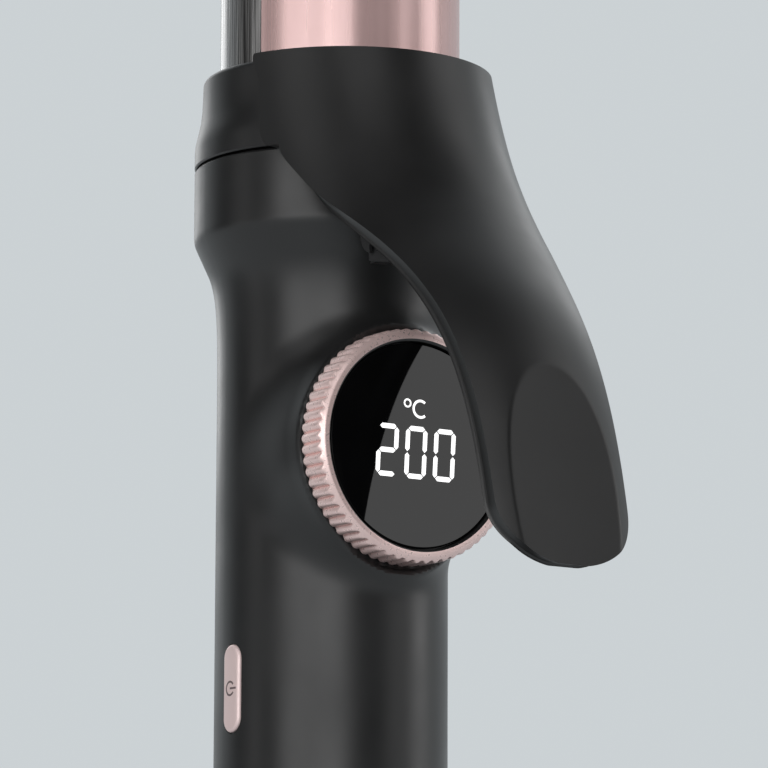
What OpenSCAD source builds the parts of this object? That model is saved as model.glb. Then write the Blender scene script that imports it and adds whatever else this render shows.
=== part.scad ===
// Hair curling iron: a heated barrel with a sprung clip, a thumb lever,
// a temperature dial and a swivel cord outlet.
// It stands upright along +Z with the middle of its tail at the origin and its barrel on top.
// The lever and the dial face -Y, and the power button faces -X. Lengths are in millimetres.

/* [Handle] */
// Length of the handle, from its tail to the seam under the collar
handle_len = 150; // [140:1:180]
// Radius of the grip
grip_r = 16; // [14.5:0.5:20]
// Extra radius of the grip at its tail
tail_swell = 0.5; // [0:0.1:1.5]
// Wall of the handle shell
shell_wall = 2.2; // [1.8:0.1:2.6]
// Height of the straight band under the seam
shoulder_band = 10; // [8:0.5:12]
// Height of the curved taper from the band down to the grip
shoulder_taper = 11; // [9:0.5:14]

/* [Barrel] */
// Outer radius of the heated barrel
barrel_r = 16; // [13:0.5:20]
// Length of the barrel tube that stands clear of the collar
barrel_len = 125; // [90:1:160]
// Wall of the barrel tube
barrel_wall = 0.8; // [0.6:0.1:1.2]
// Length of the cool tip
tip_len = 25; // [15:1:35]

/* [Collar and clip] */
// Height of the collar above the seam
collar_h = 12.6; // [11:0.2:16]
// How far the collar and the shoulder stand out from the barrel
collar_out = 3.4; // [3:0.1:5]
// Thickness of the clip plate
clip_t = 1.2; // [0.8:0.1:1.4]
// Gap between the closed clip and the barrel
clip_gap = 0.3; // [0.2:0.05:0.4]
// Angle from the middle of the clip to each of its long edges
clip_half_angle = 72.5; // [60:0.5:78]
// How far short of the cool tip the clip plate ends
clip_short = 6; // [3:1:20]

/* [Lever] */
// Radius of the lever's crowned outer face, beyond the barrel's radius
cover_out = 4.5; // [4:0.1:6]
// Distance of the lever's tip from the barrel's axis
lever_reach = 58.6; // [48:0.2:66]
// How far the lever's tip hangs below the seam
lever_drop = 61.5; // [50:0.5:74]
// Width of the lever at its tip
lever_w = 20.4; // [16:0.2:26]
// Thickness of the lever's moulding
lever_t = 2.7; // [2.2:0.1:3.2]
// Radius of the hinge pin
pin_r = 1.5; // [1.2:0.1:1.8]
// How far the hinge pin stands out from the shoulder
pin_out = 3.1; // [2.8:0.1:4]
// How far the hinge pin lies below the seam
pin_drop = 13; // [12:0.5:15]

/* [Dial] */
// How far the middle of the dial lies below the seam
dial_drop = 41.3; // [38:0.1:60]
// Outer radius of the turning ring
ring_r = 16; // [14:0.5:17]
// Depth of the turning ring
ring_h = 5.2; // [4.5:0.1:7]
// Radius of the display glass
glass_r = 13.7; // [12:0.1:14]
// Number of ribs around the ring
ring_ribs = 64; // [40:4:80]

/* [Button] */
// How far the middle of the power button lies below the seam
button_drop = 73.3; // [62:0.1:90]
// Length of the power button
button_len = 12; // [8:0.5:16]
// Width of the power button
button_w = 4.2; // [3.5:0.1:6]
// Travel of the power button
button_travel = 0.7; // [0.4:0.1:1]

/* [Tail] */
// Height of the tail cap
tail_h = 8; // [7:0.5:12]
// Radius of the swivel hub in the tail
hub_r = 6; // [5.5:0.1:7]
// Radius of the cord's passage through the hub
cord_r = 3.5; // [2.5:0.1:3.8]

/* [Hidden] */
$fn = 96;

// Fits: running (turning or sliding), assembly (fixed parts side by side) and hairline.
run = 0.06;
fit = 0.1;
hair = 0.02;
// Gap at the seam between the collar and the handle
seam_gap = 0.35;

// Heights
z_seam = handle_len;
z_shell_top = z_seam - seam_gap;
z_band = z_seam - shoulder_band;
z_taper = z_band - shoulder_taper;
z_rim = z_seam + collar_h;
z_tube = z_seam + 4;
z_tube_top = z_rim + barrel_len;
z_clip_top = z_tube_top - clip_short;
z_pin = z_seam - pin_drop;
z_dial = z_seam - dial_drop;
z_button = z_seam - button_drop;

// Radii and distances from the axis
shoulder_r = barrel_r + collar_out;
cover_r = barrel_r + cover_out;
clip_in = barrel_r + clip_gap;
clip_out = clip_in + clip_t;
n_pin = shoulder_r + pin_out;
grip_in = grip_r - shell_wall;
base_r = barrel_r;
tube_in = barrel_r - barrel_wall;

// Colours
charcoal = [0.15, 0.15, 0.16];
rose = [0.88, 0.70, 0.66];
steel = [0.62, 0.63, 0.65];
natural = [0.86, 0.83, 0.76];
copper = [0.80, 0.50, 0.33];
board_green = [0.10, 0.33, 0.20];

function ease(t) = 0.5 - 0.5 * cos(180 * min(1, max(0, t)));
function mix(a, b, t) = a + (b - a) * t;
function bezier(p, t) =
    pow(1 - t, 3) * p[0] + 3 * t * pow(1 - t, 2) * p[1] + 3 * t * t * (1 - t) * p[2] + pow(t, 3) * p[3];
function unit(v) = v / norm(v);

// Turns a shape drawn in X and Z, standing on z = 0, so that its height runs along -Y from the barrel's axis.
module facing_front(z) {
    translate([0, 0, z]) rotate([90, 0, 0]) children();
}

// Extrudes a profile drawn as [distance from the axis towards -Y, height] between two X values.
module side_profile(x0, x1) {
    translate([x0, 0, 0])
        rotate([90, 0, 0])
            rotate([0, 90, 0])
                linear_extrude(x1 - x0)
                    mirror([1, 0])
                        children();
}

// A closed solid through a list of rings of points, each ring with the same number of points.
module skin(rings) {
    m = len(rings[0]);
    last = len(rings) - 1;
    points = [for (ring = rings) for (p = ring) p];
    walls = [for (i = [0 : last - 1]) for (k = [0 : m - 1]) for (half = [0, 1])
        let (a = i * m + k, b = i * m + (k + 1) % m, c = a + m, d = b + m)
        half == 0 ? [a, b, d] : [a, d, c]];
    first_cap = [for (k = [m - 1 : -1 : 0]) k];
    last_cap = [for (k = [0 : m - 1]) last * m + k];
    polyhedron(points, concat(walls, [first_cap, last_cap]), convexity = 6);
}

// A round wire along a list of points; side is a direction that the wire never runs along.
module wire(path, r, side, facets = 8) {
    last = len(path) - 1;
    skin([for (i = [0 : last])
        let (
            along = unit(path[min(i + 1, last)] - path[max(i - 1, 0)]),
            u = unit(cross(along, side)),
            v = cross(along, u)
        )
        [for (k = [0 : facets - 1]) path[i] + r * (cos(360 * k / facets) * u - sin(360 * k / facets) * v)]]);
}

// ---- Handle ----

function shell_r(z) =
    z > z_taper
        ? grip_r + (shoulder_r - grip_r) * ease((z - z_taper) / shoulder_taper)
        : grip_r + tail_swell * pow(max(0, (z_button - z) / z_button), 2);

taper_steps = 10;
swell_steps = 6;
shell_zs = concat(
    [for (i = [0 : swell_steps]) mix(tail_h, z_button, i / swell_steps)],
    [for (i = [0 : taper_steps]) mix(z_taper, z_band, i / taper_steps)],
    [z_shell_top]
);

// The solid inside the handle's outer surface, grown or shrunk by a margin.
module shell_envelope(margin, z0, z1) {
    zs = concat([z0], [for (z = shell_zs) if (z > z0 && z < z1) z], [z1]);
    rotate_extrude()
        polygon(concat([[0, z0]], [for (z = zs) [shell_r(z) + margin, z]], [[0, z1]]));
}

ledge_z = z_seam - 16;
ledge_h = 3.9;
ledge_r = 8.5;
boss_n = grip_r + 0.4;
boss_r = grip_r - 0.1;
spigot_r = glass_r - 1.2;
spigot_l = 4;
board_x = grip_in / 2 + 0.7;
board_t = 1.6;
board_half = 10;
rail_w = 1.1;
base_screw_r = 1.3;
base_screw_pos = 11.5;
hinge_screw_r = 1.1;
hinge_screw_x = 2.9;
hinge_screw_z = ledge_z - 2.6;
spot_depth = shell_r(hinge_screw_z) - shell_wall - 0.5;

module pill(length, width) {
    hull() {
        for (s = [-1, 1])
            translate([0, s * (length - width) / 2]) circle(d = width, $fn = 32);
    }
}

// Places a shape that is drawn flat so that it faces -X at the power button.
module facing_button(x) {
    translate([-x, 0, z_button]) rotate([0, 90, 0]) rotate([0, 0, 90]) children();
}

module handle_shell() {
    color(charcoal)
    difference() {
        union() {
            difference() {
                union() {
                    shell_envelope(0, tail_h, z_shell_top);
                    facing_front(z_dial) cylinder(h = boss_n, r = boss_r);
                }
                shell_envelope(-shell_wall, tail_h - 1, z_shell_top + 1);
            }
            // Ledge that carries the barrel base
            intersection() {
                shell_envelope(-shell_wall / 2, ledge_z, ledge_z + ledge_h);
                translate([0, 0, ledge_z])
                    difference() {
                        cylinder(h = ledge_h, r = shoulder_r);
                        translate([0, 0, -1]) cylinder(h = ledge_h + 2, r = ledge_r);
                    }
            }
            // Rails that hold the main board
            intersection() {
                shell_envelope(-shell_wall / 2, board_z0, board_z1);
                for (s = [-1, 1], dx = [board_t / 2 + fit + rail_w / 2, -board_t / 2 - fit - rail_w / 2])
                    translate([-board_x + dx, s * (board_half - 0.9 + grip_r / 2), (board_z0 + board_z1) / 2])
                        cube([rail_w, grip_r, board_z1 - board_z0], center = true);
            }
        }
        // Seat of the dial hub, with spot faces for the heads of its screws
        facing_front(z_dial) translate([0, 0, grip_in / 2]) {
            cylinder(h = grip_r, r = spigot_r + fit);
            for (a = [45 : 90 : 315])
                rotate([0, 0, a]) translate([dial_screw_pos, 0, 0])
                    cylinder(h = boss_n - spigot_l - grip_in / 2, r = dial_head_r + fit);
        }
        // Slot of the power button
        facing_button(grip_r * 1.5)
            linear_extrude(grip_r) pill(button_len + 2 * fit, button_w + 2 * fit);
        // Holes for the screws of the barrel base
        for (s = [-1, 1])
            translate([s * base_screw_pos, 0, ledge_z - 1])
                cylinder(h = ledge_h + 2, r = base_screw_r + fit);
        // Holes and spot faces for the screws of the hinge block
        for (s = [-1, 1])
            translate([s * hinge_screw_x, 0, hinge_screw_z])
                rotate([90, 0, 0]) {
                    cylinder(h = shoulder_r + 2, r = hinge_screw_r + fit);
                    cylinder(h = spot_depth, r = 2 * hinge_screw_r + 2 * fit);
                }
    }
}

// ---- Tail ----

tail_floor = 3;
flange_r = hub_r + 2;
flange_t = 1.5;
retainer_z = tail_floor + flange_t + 0.3;
retainer_t = 2;
stem_r = hub_r - 1.5;
stem_top = 24;
spigot_h = 7;
tail_in = shell_r(tail_h + spigot_h) - shell_wall - fit;
tail_bore_r = tail_in - 1.6;
tail_screw_r = 1;
tail_screw_x = (flange_r + 0.3 + tail_bore_r) / 2;

module tail_cap() {
    edge = shell_r(tail_h);
    round_r = 5;
    color(charcoal)
    difference() {
        union() {
            rotate_extrude()
                polygon(concat(
                    [[0, 0]],
                    [for (a = [0 : 15 : 90]) [edge - round_r + round_r * sin(a), round_r - round_r * cos(a)]],
                    [[edge, tail_h], [0, tail_h]]
                ));
            cylinder(h = tail_h + spigot_h, r = tail_in);
        }
        translate([0, 0, -1]) cylinder(h = tail_h, r = hub_r + run);
        translate([0, 0, tail_floor]) cylinder(h = tail_h, r = flange_r + 0.3);
        translate([0, 0, retainer_z]) cylinder(h = tail_h + spigot_h, r = tail_bore_r);
        for (s = [-1, 1])
            translate([s * tail_screw_x, 0, 1.5]) cylinder(h = tail_h, r = tail_screw_r + hair);
    }
}

module swivel_hub() {
    color(charcoal)
    difference() {
        union() {
            cylinder(h = tail_floor + 0.1, r = hub_r);
            translate([0, 0, tail_floor + 0.1]) cylinder(h = flange_t - 0.1, r = flange_r);
            cylinder(h = stem_top, r = stem_r);
        }
        translate([0, 0, -1]) cylinder(h = stem_top + 2, r = cord_r);
    }
}

module swivel_retainer() {
    color(natural)
    translate([0, 0, retainer_z])
        difference() {
            cylinder(h = retainer_t, r = tail_bore_r - fit);
            translate([0, 0, -1]) cylinder(h = retainer_t + 2, r = stem_r + 0.3);
            for (s = [-1, 1])
                translate([s * tail_screw_x, 0, -1]) cylinder(h = retainer_t + 2, r = tail_screw_r + fit);
        }
}

module tail_screws() {
    color(steel)
    for (s = [-1, 1])
        translate([s * tail_screw_x, 0, 0]) {
            translate([0, 0, 2]) cylinder(h = retainer_z + retainer_t - 2, r = tail_screw_r);
            translate([0, 0, retainer_z + retainer_t])
                difference() {
                    cylinder(h = 1.2, r = 1.8 * tail_screw_r);
                    translate([-3, -0.25, 0.7]) cube([6, 0.5, 1]);
                }
        }
}

ring_zs = [8.6, 14.2];
contact_h = 3;
contact_out = stem_r + 1;

module contact_rings() {
    color(copper)
    for (z = ring_zs)
        translate([0, 0, z])
            difference() {
                cylinder(h = contact_h, r = contact_out);
                translate([0, 0, -1]) cylinder(h = contact_h + 2, r = stem_r + hair);
            }
}

holder_y = contact_out + 1.2;
holder_d = 4.6;
holder_w = 8;
brush_r = 0.9;

module brush_holder() {
    z0 = retainer_z + retainer_t;
    color(natural)
    difference() {
        translate([-holder_w / 2, holder_y, z0]) cube([holder_w, holder_d, ring_zs[1] + contact_h + 1 - z0]);
        for (z = ring_zs)
            translate([0, 0, z + contact_h / 2]) rotate([-90, 0, 0])
                cylinder(h = 2 * holder_y, r = brush_r + run);
    }
}

module contact_brushes() {
    color(copper)
    for (z = ring_zs)
        translate([0, contact_out + 0.3, z + contact_h / 2]) rotate([-90, 0, 0])
            cylinder(h = holder_y + holder_d - contact_out - 0.6, r = brush_r);
}

// ---- Main board ----

board_z0 = tail_h + 26;
board_z1 = z_dial + 6;
face_x = -board_x + board_t / 2;
terminal = [7, 10, 8];
terminal_z = board_z0 + 1;
heater_terminal_z = z_dial - 9;
lead_r = 0.8;
lead_x = face_x + terminal[0] / 2;
capacitor = [8, 12, 7];
triac_body = [4.4, 10, 9];
choke_r = 6;
choke_bore = 2.4;
choke_h = 6;
board_fuse_r = 2.3;
board_fuse_h = 15;

module main_board() {
    color(board_green)
    translate([-board_x - board_t / 2, -board_half, board_z0])
        cube([board_t, 2 * board_half, board_z1 - board_z0]);
}

module terminal_block() {
    color([0.20, 0.42, 0.36])
    for (z = [terminal_z, heater_terminal_z])
        translate([face_x, -terminal[1] / 2, z]) cube(terminal);
}

module supply_leads() {
    top = ring_zs[1] + contact_h + 1;
    for (s = [-1, 1])
        color(s > 0 ? [0.35, 0.22, 0.14] : [0.15, 0.30, 0.60])
        wire([
            [s * 2.2, holder_y + 2.4, top],
            [s * 2.2, holder_y + 2.4, top + 3],
            [s * 2 - 1, holder_y - 0.5, top + 7],
            [s * 2 - 2.6, s * 1.2 + 3, terminal_z - 4.5],
            [lead_x, s * 2.5, terminal_z - 2],
            [lead_x, s * 2.5, terminal_z]
        ], lead_r, [1, 0, 0]);
}

module mains_capacitor() {
    color([0.72, 0.58, 0.16])
    translate([face_x, -8, board_z0 + 12]) cube(capacitor);
}

module choke_coil() {
    color(copper)
    translate([face_x, 0, z_button - choke_r]) rotate([0, 90, 0])
        difference() {
            cylinder(h = choke_h, r = choke_r);
            translate([0, 0, -1]) cylinder(h = choke_h + 2, r = choke_bore);
        }
}

module triac() {
    color([0.12, 0.12, 0.12])
    translate([face_x, -triac_body[1] / 2, z_button + 4]) cube(triac_body);
}

module board_fuse() {
    color([0.75, 0.80, 0.80])
    translate([face_x + board_fuse_r + fit, 6.6, board_z0 + 13]) cylinder(h = board_fuse_h, r = board_fuse_r);
}

switch_w = 6;
switch_h = 2.6;
plunger_r = 1.7;
plunger_h = 0.9;
outer_face_x = board_x + board_t / 2;
button_in = outer_face_x + switch_h + plunger_h + button_travel + 0.1;

module button_switch() {
    color([0.20, 0.20, 0.22]) {
        facing_button(outer_face_x + switch_h)
            linear_extrude(switch_h) square(switch_w, center = true);
        facing_button(outer_face_x + switch_h + plunger_h)
            cylinder(h = plunger_h, r = plunger_r);
    }
}

button_face = grip_r + 0.3;
button_lip = 0.8;

module power_button() {
    lip_out = sqrt(pow(grip_in, 2) - pow(button_w / 2 + button_lip, 2)) - 0.15;
    color(rose)
    intersection() {
        union() {
            facing_button(button_face) linear_extrude(button_face - button_in) pill(button_len, button_w);
            facing_button(lip_out)
                linear_extrude(lip_out - button_in)
                    pill(button_len + 2 * button_lip, button_w + 2 * button_lip);
        }
        cylinder(h = handle_len, r = button_face);
    }
}

// ---- Dial ----

hub_top = boss_n + ring_h - 1.4;
glass_t = 0.9;
module_size = [17.2, 12.8, 2.4];
module_back = hub_top - 0.4 - module_size[2];
dial_board_t = 1.6;
hub_in = glass_r - 2.3;
ring_in = glass_r + 0.5;
dial_flange_r = ring_in + 0.55;
dial_flange_t = 1.5;
ring_back = boss_n + 0.3;
step_n = boss_n + dial_flange_t + 0.25;
dial_screw_pos = glass_r - 1.75;
dial_screw_r = 0.5;
dial_head_r = 1.1;

module dial_hub() {
    color(charcoal)
    facing_front(z_dial)
        difference() {
            union() {
                translate([0, 0, boss_n - spigot_l]) cylinder(h = spigot_l, r = spigot_r);
                translate([0, 0, boss_n]) cylinder(h = dial_flange_t, r = dial_flange_r);
                translate([0, 0, boss_n]) cylinder(h = hub_top - boss_n, r = ring_in - run);
            }
            translate([0, 0, boss_n - 5]) cylinder(h = ring_h + 6, r = hub_in);
            for (a = [45 : 90 : 315])
                rotate([0, 0, a]) translate([dial_screw_pos, 0, boss_n - spigot_l - 1])
                    cylinder(h = spigot_l + 1, r = dial_screw_r + hair);
        }
}

module dial_screws() {
    color(steel)
    facing_front(z_dial)
        for (a = [45 : 90 : 315])
            rotate([0, 0, a]) translate([dial_screw_pos, 0, 0]) {
                translate([0, 0, boss_n - spigot_l]) cylinder(h = spigot_l - 0.5, r = dial_screw_r);
                translate([0, 0, boss_n - spigot_l - 0.7]) cylinder(h = 0.7, r = dial_head_r);
            }
}

module dial_seal() {
    color([0.05, 0.05, 0.05])
    facing_front(z_dial)
        translate([0, 0, boss_n])
            difference() {
                cylinder(h = 0.2, r = ring_r - 0.4);
                translate([0, 0, -1]) cylinder(h = 2, r = dial_flange_r + fit);
            }
}

rib_depth = 0.45;

module dial_ring() {
    front = boss_n + ring_h;
    knurl_top = front - 1.3;
    pitch = 360 / ring_ribs;
    color(rose)
    facing_front(z_dial)
        difference() {
            union() {
                translate([0, 0, ring_back])
                    linear_extrude(knurl_top - ring_back)
                        polygon([for (i = [0 : ring_ribs - 1]) for (k = [0 : 3])
                            let (a = pitch * (i + k / 4), r = ring_r - (k < 2 ? 0 : rib_depth))
                            [r * cos(a), r * sin(a)]]);
                rotate_extrude()
                    polygon([
                        [0, knurl_top], [ring_r - 0.15, knurl_top], [ring_r, knurl_top + 0.3],
                        [ring_r - 0.8, front], [0, front]
                    ]);
            }
            translate([0, 0, ring_back - 1]) cylinder(h = ring_h + 2, r = ring_in);
            translate([0, 0, ring_back - 1]) cylinder(h = step_n - ring_back + 1, r = dial_flange_r + 0.2);
            translate([0, 0, front - 0.5]) cylinder(h = 1, r1 = ring_in, r2 = ring_in + 1);
        }
}

module dial_glass() {
    color([0.03, 0.03, 0.04])
    facing_front(z_dial) translate([0, 0, hub_top]) cylinder(h = glass_t, r = glass_r);
}

module display_module() {
    color([0.25, 0.25, 0.27])
    facing_front(z_dial)
        translate([-module_size[0] / 2, -module_size[1] / 2, module_back]) cube(module_size);
}

module display_board() {
    color(board_green)
    facing_front(z_dial)
        translate([0, 0, module_back - dial_board_t]) cylinder(h = dial_board_t, r = hub_in - fit);
}

module ribbon_cable() {
    x0 = face_x;
    y1 = dial_board_t - module_back;
    strip = 0.3;
    color([0.80, 0.80, 0.78])
    translate([0, 0, z_dial - 5])
        linear_extrude(9)
            polygon([
                [x0, -8], [x0 + 1, -8], [-2.4, -12], [-2.4, y1], [-2.4 + strip, y1],
                [-2.4 + strip, -11.9], [x0 + 1 + strip, -7.9],
                [x0 + 1 + strip, -7.9 + strip], [x0, -7.9 + strip]
            ]);
}

// ---- Collar and barrel ----

base_z = ledge_z + ledge_h + hair;
base_up = z_tube + 26;

module barrel_base() {
    color(natural)
    difference() {
        union() {
            translate([0, 0, base_z]) cylinder(h = z_tube - base_z, r = base_r);
            translate([0, 0, z_tube]) cylinder(h = base_up - z_tube, r = tube_in - 0.05);
        }
        translate([0, 0, base_z - 1]) cylinder(h = base_up, r = 6);
        for (s = [-1, 1])
            translate([s * base_screw_pos, 0, base_z - 1]) cylinder(h = 9, r = base_screw_r + hair);
    }
}

module base_screws() {
    color(steel)
    for (s = [-1, 1])
        translate([s * base_screw_pos, 0, 0]) {
            translate([0, 0, ledge_z]) cylinder(h = ledge_h + 7, r = base_screw_r);
            translate([0, 0, ledge_z - 1.8]) cylinder(h = 1.8, r = 1.7 * base_screw_r);
        }
}

// Where the fixed half of the collar ends and the moving cover begins, at the rim and at the seam
edge_rim = cover_r * 0.5;
edge_seam = cover_r * 0.585;

module collar_ring() {
    round_r = 1.6;
    rim_r = shoulder_r - 1.1;
    inner = barrel_r + fit;
    color(charcoal)
    difference() {
        rotate_extrude()
            polygon(concat(
                [
                    [inner, z_seam - 6], [shoulder_r - shell_wall - fit, z_seam - 6],
                    [shoulder_r - shell_wall - fit, z_seam], [shoulder_r, z_seam], [shoulder_r, z_seam + 2.7],
                    [shoulder_r - 0.4, z_seam + 4.2], [rim_r + 0.25, z_seam + collar_h * 0.6]
                ],
                [for (a = [0 : 15 : 90])
                    [rim_r - round_r + round_r * cos(a), z_rim - round_r + round_r * sin(a)]],
                [[inner, z_rim]]
            ));
        // Front left open for the cover, the clip and their frame
        side_profile(-2 * shoulder_r, 2 * shoulder_r)
            polygon([
                [edge_seam - 0.45, z_seam - 0.01], [edge_rim - 0.45, z_rim + 1],
                [2 * shoulder_r, z_rim + 1], [2 * shoulder_r, z_seam - 0.01]
            ]);
    }
}

module barrel_tube() {
    color([0.45, 0.42, 0.42])
    translate([0, 0, z_tube])
        difference() {
            cylinder(h = z_tube_top - z_tube, r = barrel_r);
            translate([0, 0, -1]) cylinder(h = z_tube_top, r = tube_in);
        }
}

spreader_z = base_up + 2;
plug_h = 8;
spreader_h = z_tube_top - plug_h - 2 - spreader_z;
element_half = 1.5;
element_w = 12;
pocket_y = tube_in * 0.55;
fuse_r = 1.5;
fuse_h = 10;
probe_r = 1.2;
probe_h = 8;

module heat_spreaders() {
    color([0.78, 0.79, 0.80])
    difference() {
        translate([0, 0, spreader_z]) cylinder(h = spreader_h, r = tube_in - 0.05);
        translate([-barrel_r, -element_half, spreader_z - 1])
            cube([2 * barrel_r, 2 * element_half, spreader_h + 2]);
        translate([0, -pocket_y, spreader_z - 1]) cylinder(h = fuse_h + 1, r = fuse_r + fit);
        translate([0, pocket_y, spreader_z - 1]) cylinder(h = probe_h + 1, r = probe_r + fit);
    }
}

module heater_element() {
    color([0.92, 0.90, 0.86])
    translate([-element_w / 2, -element_half, spreader_z]) cube([element_w, 2 * element_half, spreader_h]);
}

module thermal_fuse() {
    color(steel)
    translate([0, -pocket_y, spreader_z]) cylinder(h = fuse_h - fit, r = fuse_r);
}

module thermistor() {
    color([0.70, 0.35, 0.15])
    translate([0, pocket_y, spreader_z]) cylinder(h = probe_h - fit, r = probe_r);
}

module heater_leads() {
    top = heater_terminal_z + terminal[2];
    for (s = [-1, 1])
        color([0.85, 0.85, 0.82])
        wire([
            [lead_x, s * 2.5, top],
            [lead_x, s * 2.5, top + 5],
            [-1.5, s * 2.6, top + 14],
            [0, s * 2.6, base_z - 3],
            [0, s * 2.6, base_z + 10],
            [0, s * 2.4, base_up - 8],
            [s * 1.5, s * 0.6, spreader_z - 2],
            [s * 1.5, s * 0.6, spreader_z]
        ], lead_r, [1, 0, 0]);
}

// ---- Cool tip ----

tip_wall = 2;
tip_round = 6;
z_tip = z_tube_top + tip_len;
plug_r = tube_in - 0.05;
boss_tip_r = 4;
screw_tip_r = 1.5;
disc_r = 5;
disc_t = 1;
head_pocket = 5;
head_pocket_r = 3.2;

module tip_plug() {
    color(natural)
    translate([0, 0, z_tube_top - plug_h])
        difference() {
            cylinder(h = plug_h, r = plug_r);
            translate([0, 0, plug_h - 6.5]) cylinder(h = 8, r = screw_tip_r + hair);
        }
}

module tip_cap() {
    floor_z = z_tip - 6;
    color(charcoal)
    difference() {
        union() {
            difference() {
                translate([0, 0, z_tube_top])
                    rotate_extrude()
                        polygon(concat(
                            [[0, 0], [barrel_r - 0.3, 0], [barrel_r, 0.3]],
                            [for (a = [0 : 10 : 90])
                                [
                                    barrel_r - tip_round + tip_round * cos(a),
                                    tip_len - tip_round + tip_round * sin(a)
                                ]],
                            [[0, tip_len]]
                        ));
                translate([0, 0, z_tube_top + tip_wall]) cylinder(h = floor_z - z_tube_top - tip_wall - 1,
                    r = barrel_r - tip_wall);
            }
            translate([0, 0, z_tube_top]) cylinder(h = tip_len - 3, r = boss_tip_r);
        }
        translate([0, 0, z_tube_top - 1]) cylinder(h = tip_len, r = screw_tip_r + fit);
        translate([0, 0, z_tip - head_pocket]) cylinder(h = head_pocket + 1, r = head_pocket_r);
        translate([0, 0, z_tip - disc_t]) cylinder(h = 2, r = disc_r + fit);
    }
}

module tip_screw() {
    color(steel) {
        translate([0, 0, z_tube_top - 6]) cylinder(h = tip_len + 6 - head_pocket, r = screw_tip_r);
        translate([0, 0, z_tip - head_pocket])
            difference() {
                cylinder(h = 2.4, r = head_pocket_r - 0.4);
                translate([0, 0, 1]) cylinder(h = 2, r = 1.4, $fn = 6);
            }
    }
}

module tip_disc() {
    color(charcoal)
    translate([0, 0, z_tip - disc_t]) cylinder(h = disc_t - 0.15, r = disc_r);
}

// ---- Clip ----

clip_tab_half = sqrt(pow(clip_in, 2) - pow(edge_seam, 2));
clip_z0 = z_seam + 1.4;
clip_nose = 14;
clip_screw_r = 1.2;
clip_screw_z = z_seam + 6;
clip_screw_angle = 31;

module clip_plate() {
    half = clip_out * sin(clip_half_angle);
    color(rose)
    difference() {
        translate([0, 0, clip_z0])
            rotate([0, 0, -90 - clip_half_angle])
                rotate_extrude(angle = 2 * clip_half_angle)
                    translate([clip_in, 0]) square([clip_t, z_clip_top - clip_z0]);
        // Side notches that leave a tab under the cover
        for (s = [-1, 1])
            translate([s * (clip_tab_half + barrel_r), 0, clip_z0 + (collar_h - 1) / 2 - 1])
                cube([2 * barrel_r, 3 * barrel_r, collar_h + 1], center = true);
        // Rounded nose
        translate([0, 0, z_clip_top - clip_nose])
            rotate([90, 0, 0])
                linear_extrude(2 * barrel_r)
                    difference() {
                        translate([-2 * barrel_r, 0]) square([4 * barrel_r, 2 * clip_nose]);
                        polygon([for (a = [0 : 7.5 : 180])
                            [(half + 0.2) * cos(a), clip_nose * sin(a) - 0.01]]);
                    }
        for (s = [-1, 1])
            translate([0, 0, clip_screw_z])
                rotate([90, 0, s * clip_screw_angle]) cylinder(h = 2 * barrel_r, r = clip_screw_r + hair);
    }
}

frame_in = clip_out + 0.05;
frame_out = shoulder_r - fit;
frame_half_angle = acos(edge_seam / frame_in);
ear_x = 5.2;
ear_t = 2.3;
frame_z0 = z_seam + 1.2;
frame_h = collar_h - 3.2;

module clip_screws() {
    color(steel)
    for (s = [-1, 1])
        translate([0, 0, clip_screw_z])
            rotate([90, 0, s * clip_screw_angle]) {
                translate([0, 0, clip_in + 0.1]) cylinder(h = frame_out - clip_in, r = clip_screw_r);
                translate([0, 0, frame_out]) cylinder(h = 0.8, r = 1.6 * clip_screw_r);
            }
}

// ---- Lever ----

// Centre of the lever's crowned face, as [distance from the axis, height above the seam]
lever_path = [
    [cover_out - 1.4, collar_h],
    [lever_reach * 0.24, -0.4 * lever_drop],
    [lever_reach * 0.54, -0.26 * lever_drop],
    [lever_reach - cover_r, -lever_drop]
];
function lever_at(t) = bezier(lever_path, t);
function lever_slope(t) =
    let (d = lever_at(min(1, t + 0.01)) - lever_at(max(0, t - 0.01))) abs(d[0] / d[1]);

// Half the lever's width at a height above the seam
tip_corner = 8;
cover_w = cover_r * 0.927;
narrow_h = 0.58 * lever_drop;
corner_top = 1.5;
corner_h = 1.8;
function edge_w(h, n0) =
    let (
        edge = mix(edge_seam, edge_rim, h / collar_h),
        cover = sqrt(pow(cover_r, 2) - pow(edge - n0, 2)),
        below = lever_w / 2 + (cover_w - lever_w / 2) * (1 - ease(-h / narrow_h))
    )
    mix(cover, below, ease((corner_top - h) / corner_h));
function tip_w(h) =
    let (s = (-h - (lever_drop - tip_corner)) / tip_corner)
    s <= 0 ? 1 : pow(1 - pow(min(1, s), 2.2), 1 / 2.2);

// Thumb pad: a plane, dished a little, that cuts the crown over the lower part of the lever
pad_top = -0.57 * lever_drop;
pad_slope = 0.2;
pad_root = lever_reach - 6.7;
pad_dish = 0.002;
function pad_n(h, x) = pad_root + pad_slope * (pad_top - h) + pad_dish * x * x;

lever_cols = 14;
lever_ts = concat(
    [0, 0.04, 0.08, 0.105, 0.12, 0.133],
    [for (i = [0 : 16]) mix(0.15, 0.91, i / 16)],
    [for (k = [1 : 6]) mix(0.91, 0.998, sin(15 * k))]
);

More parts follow.
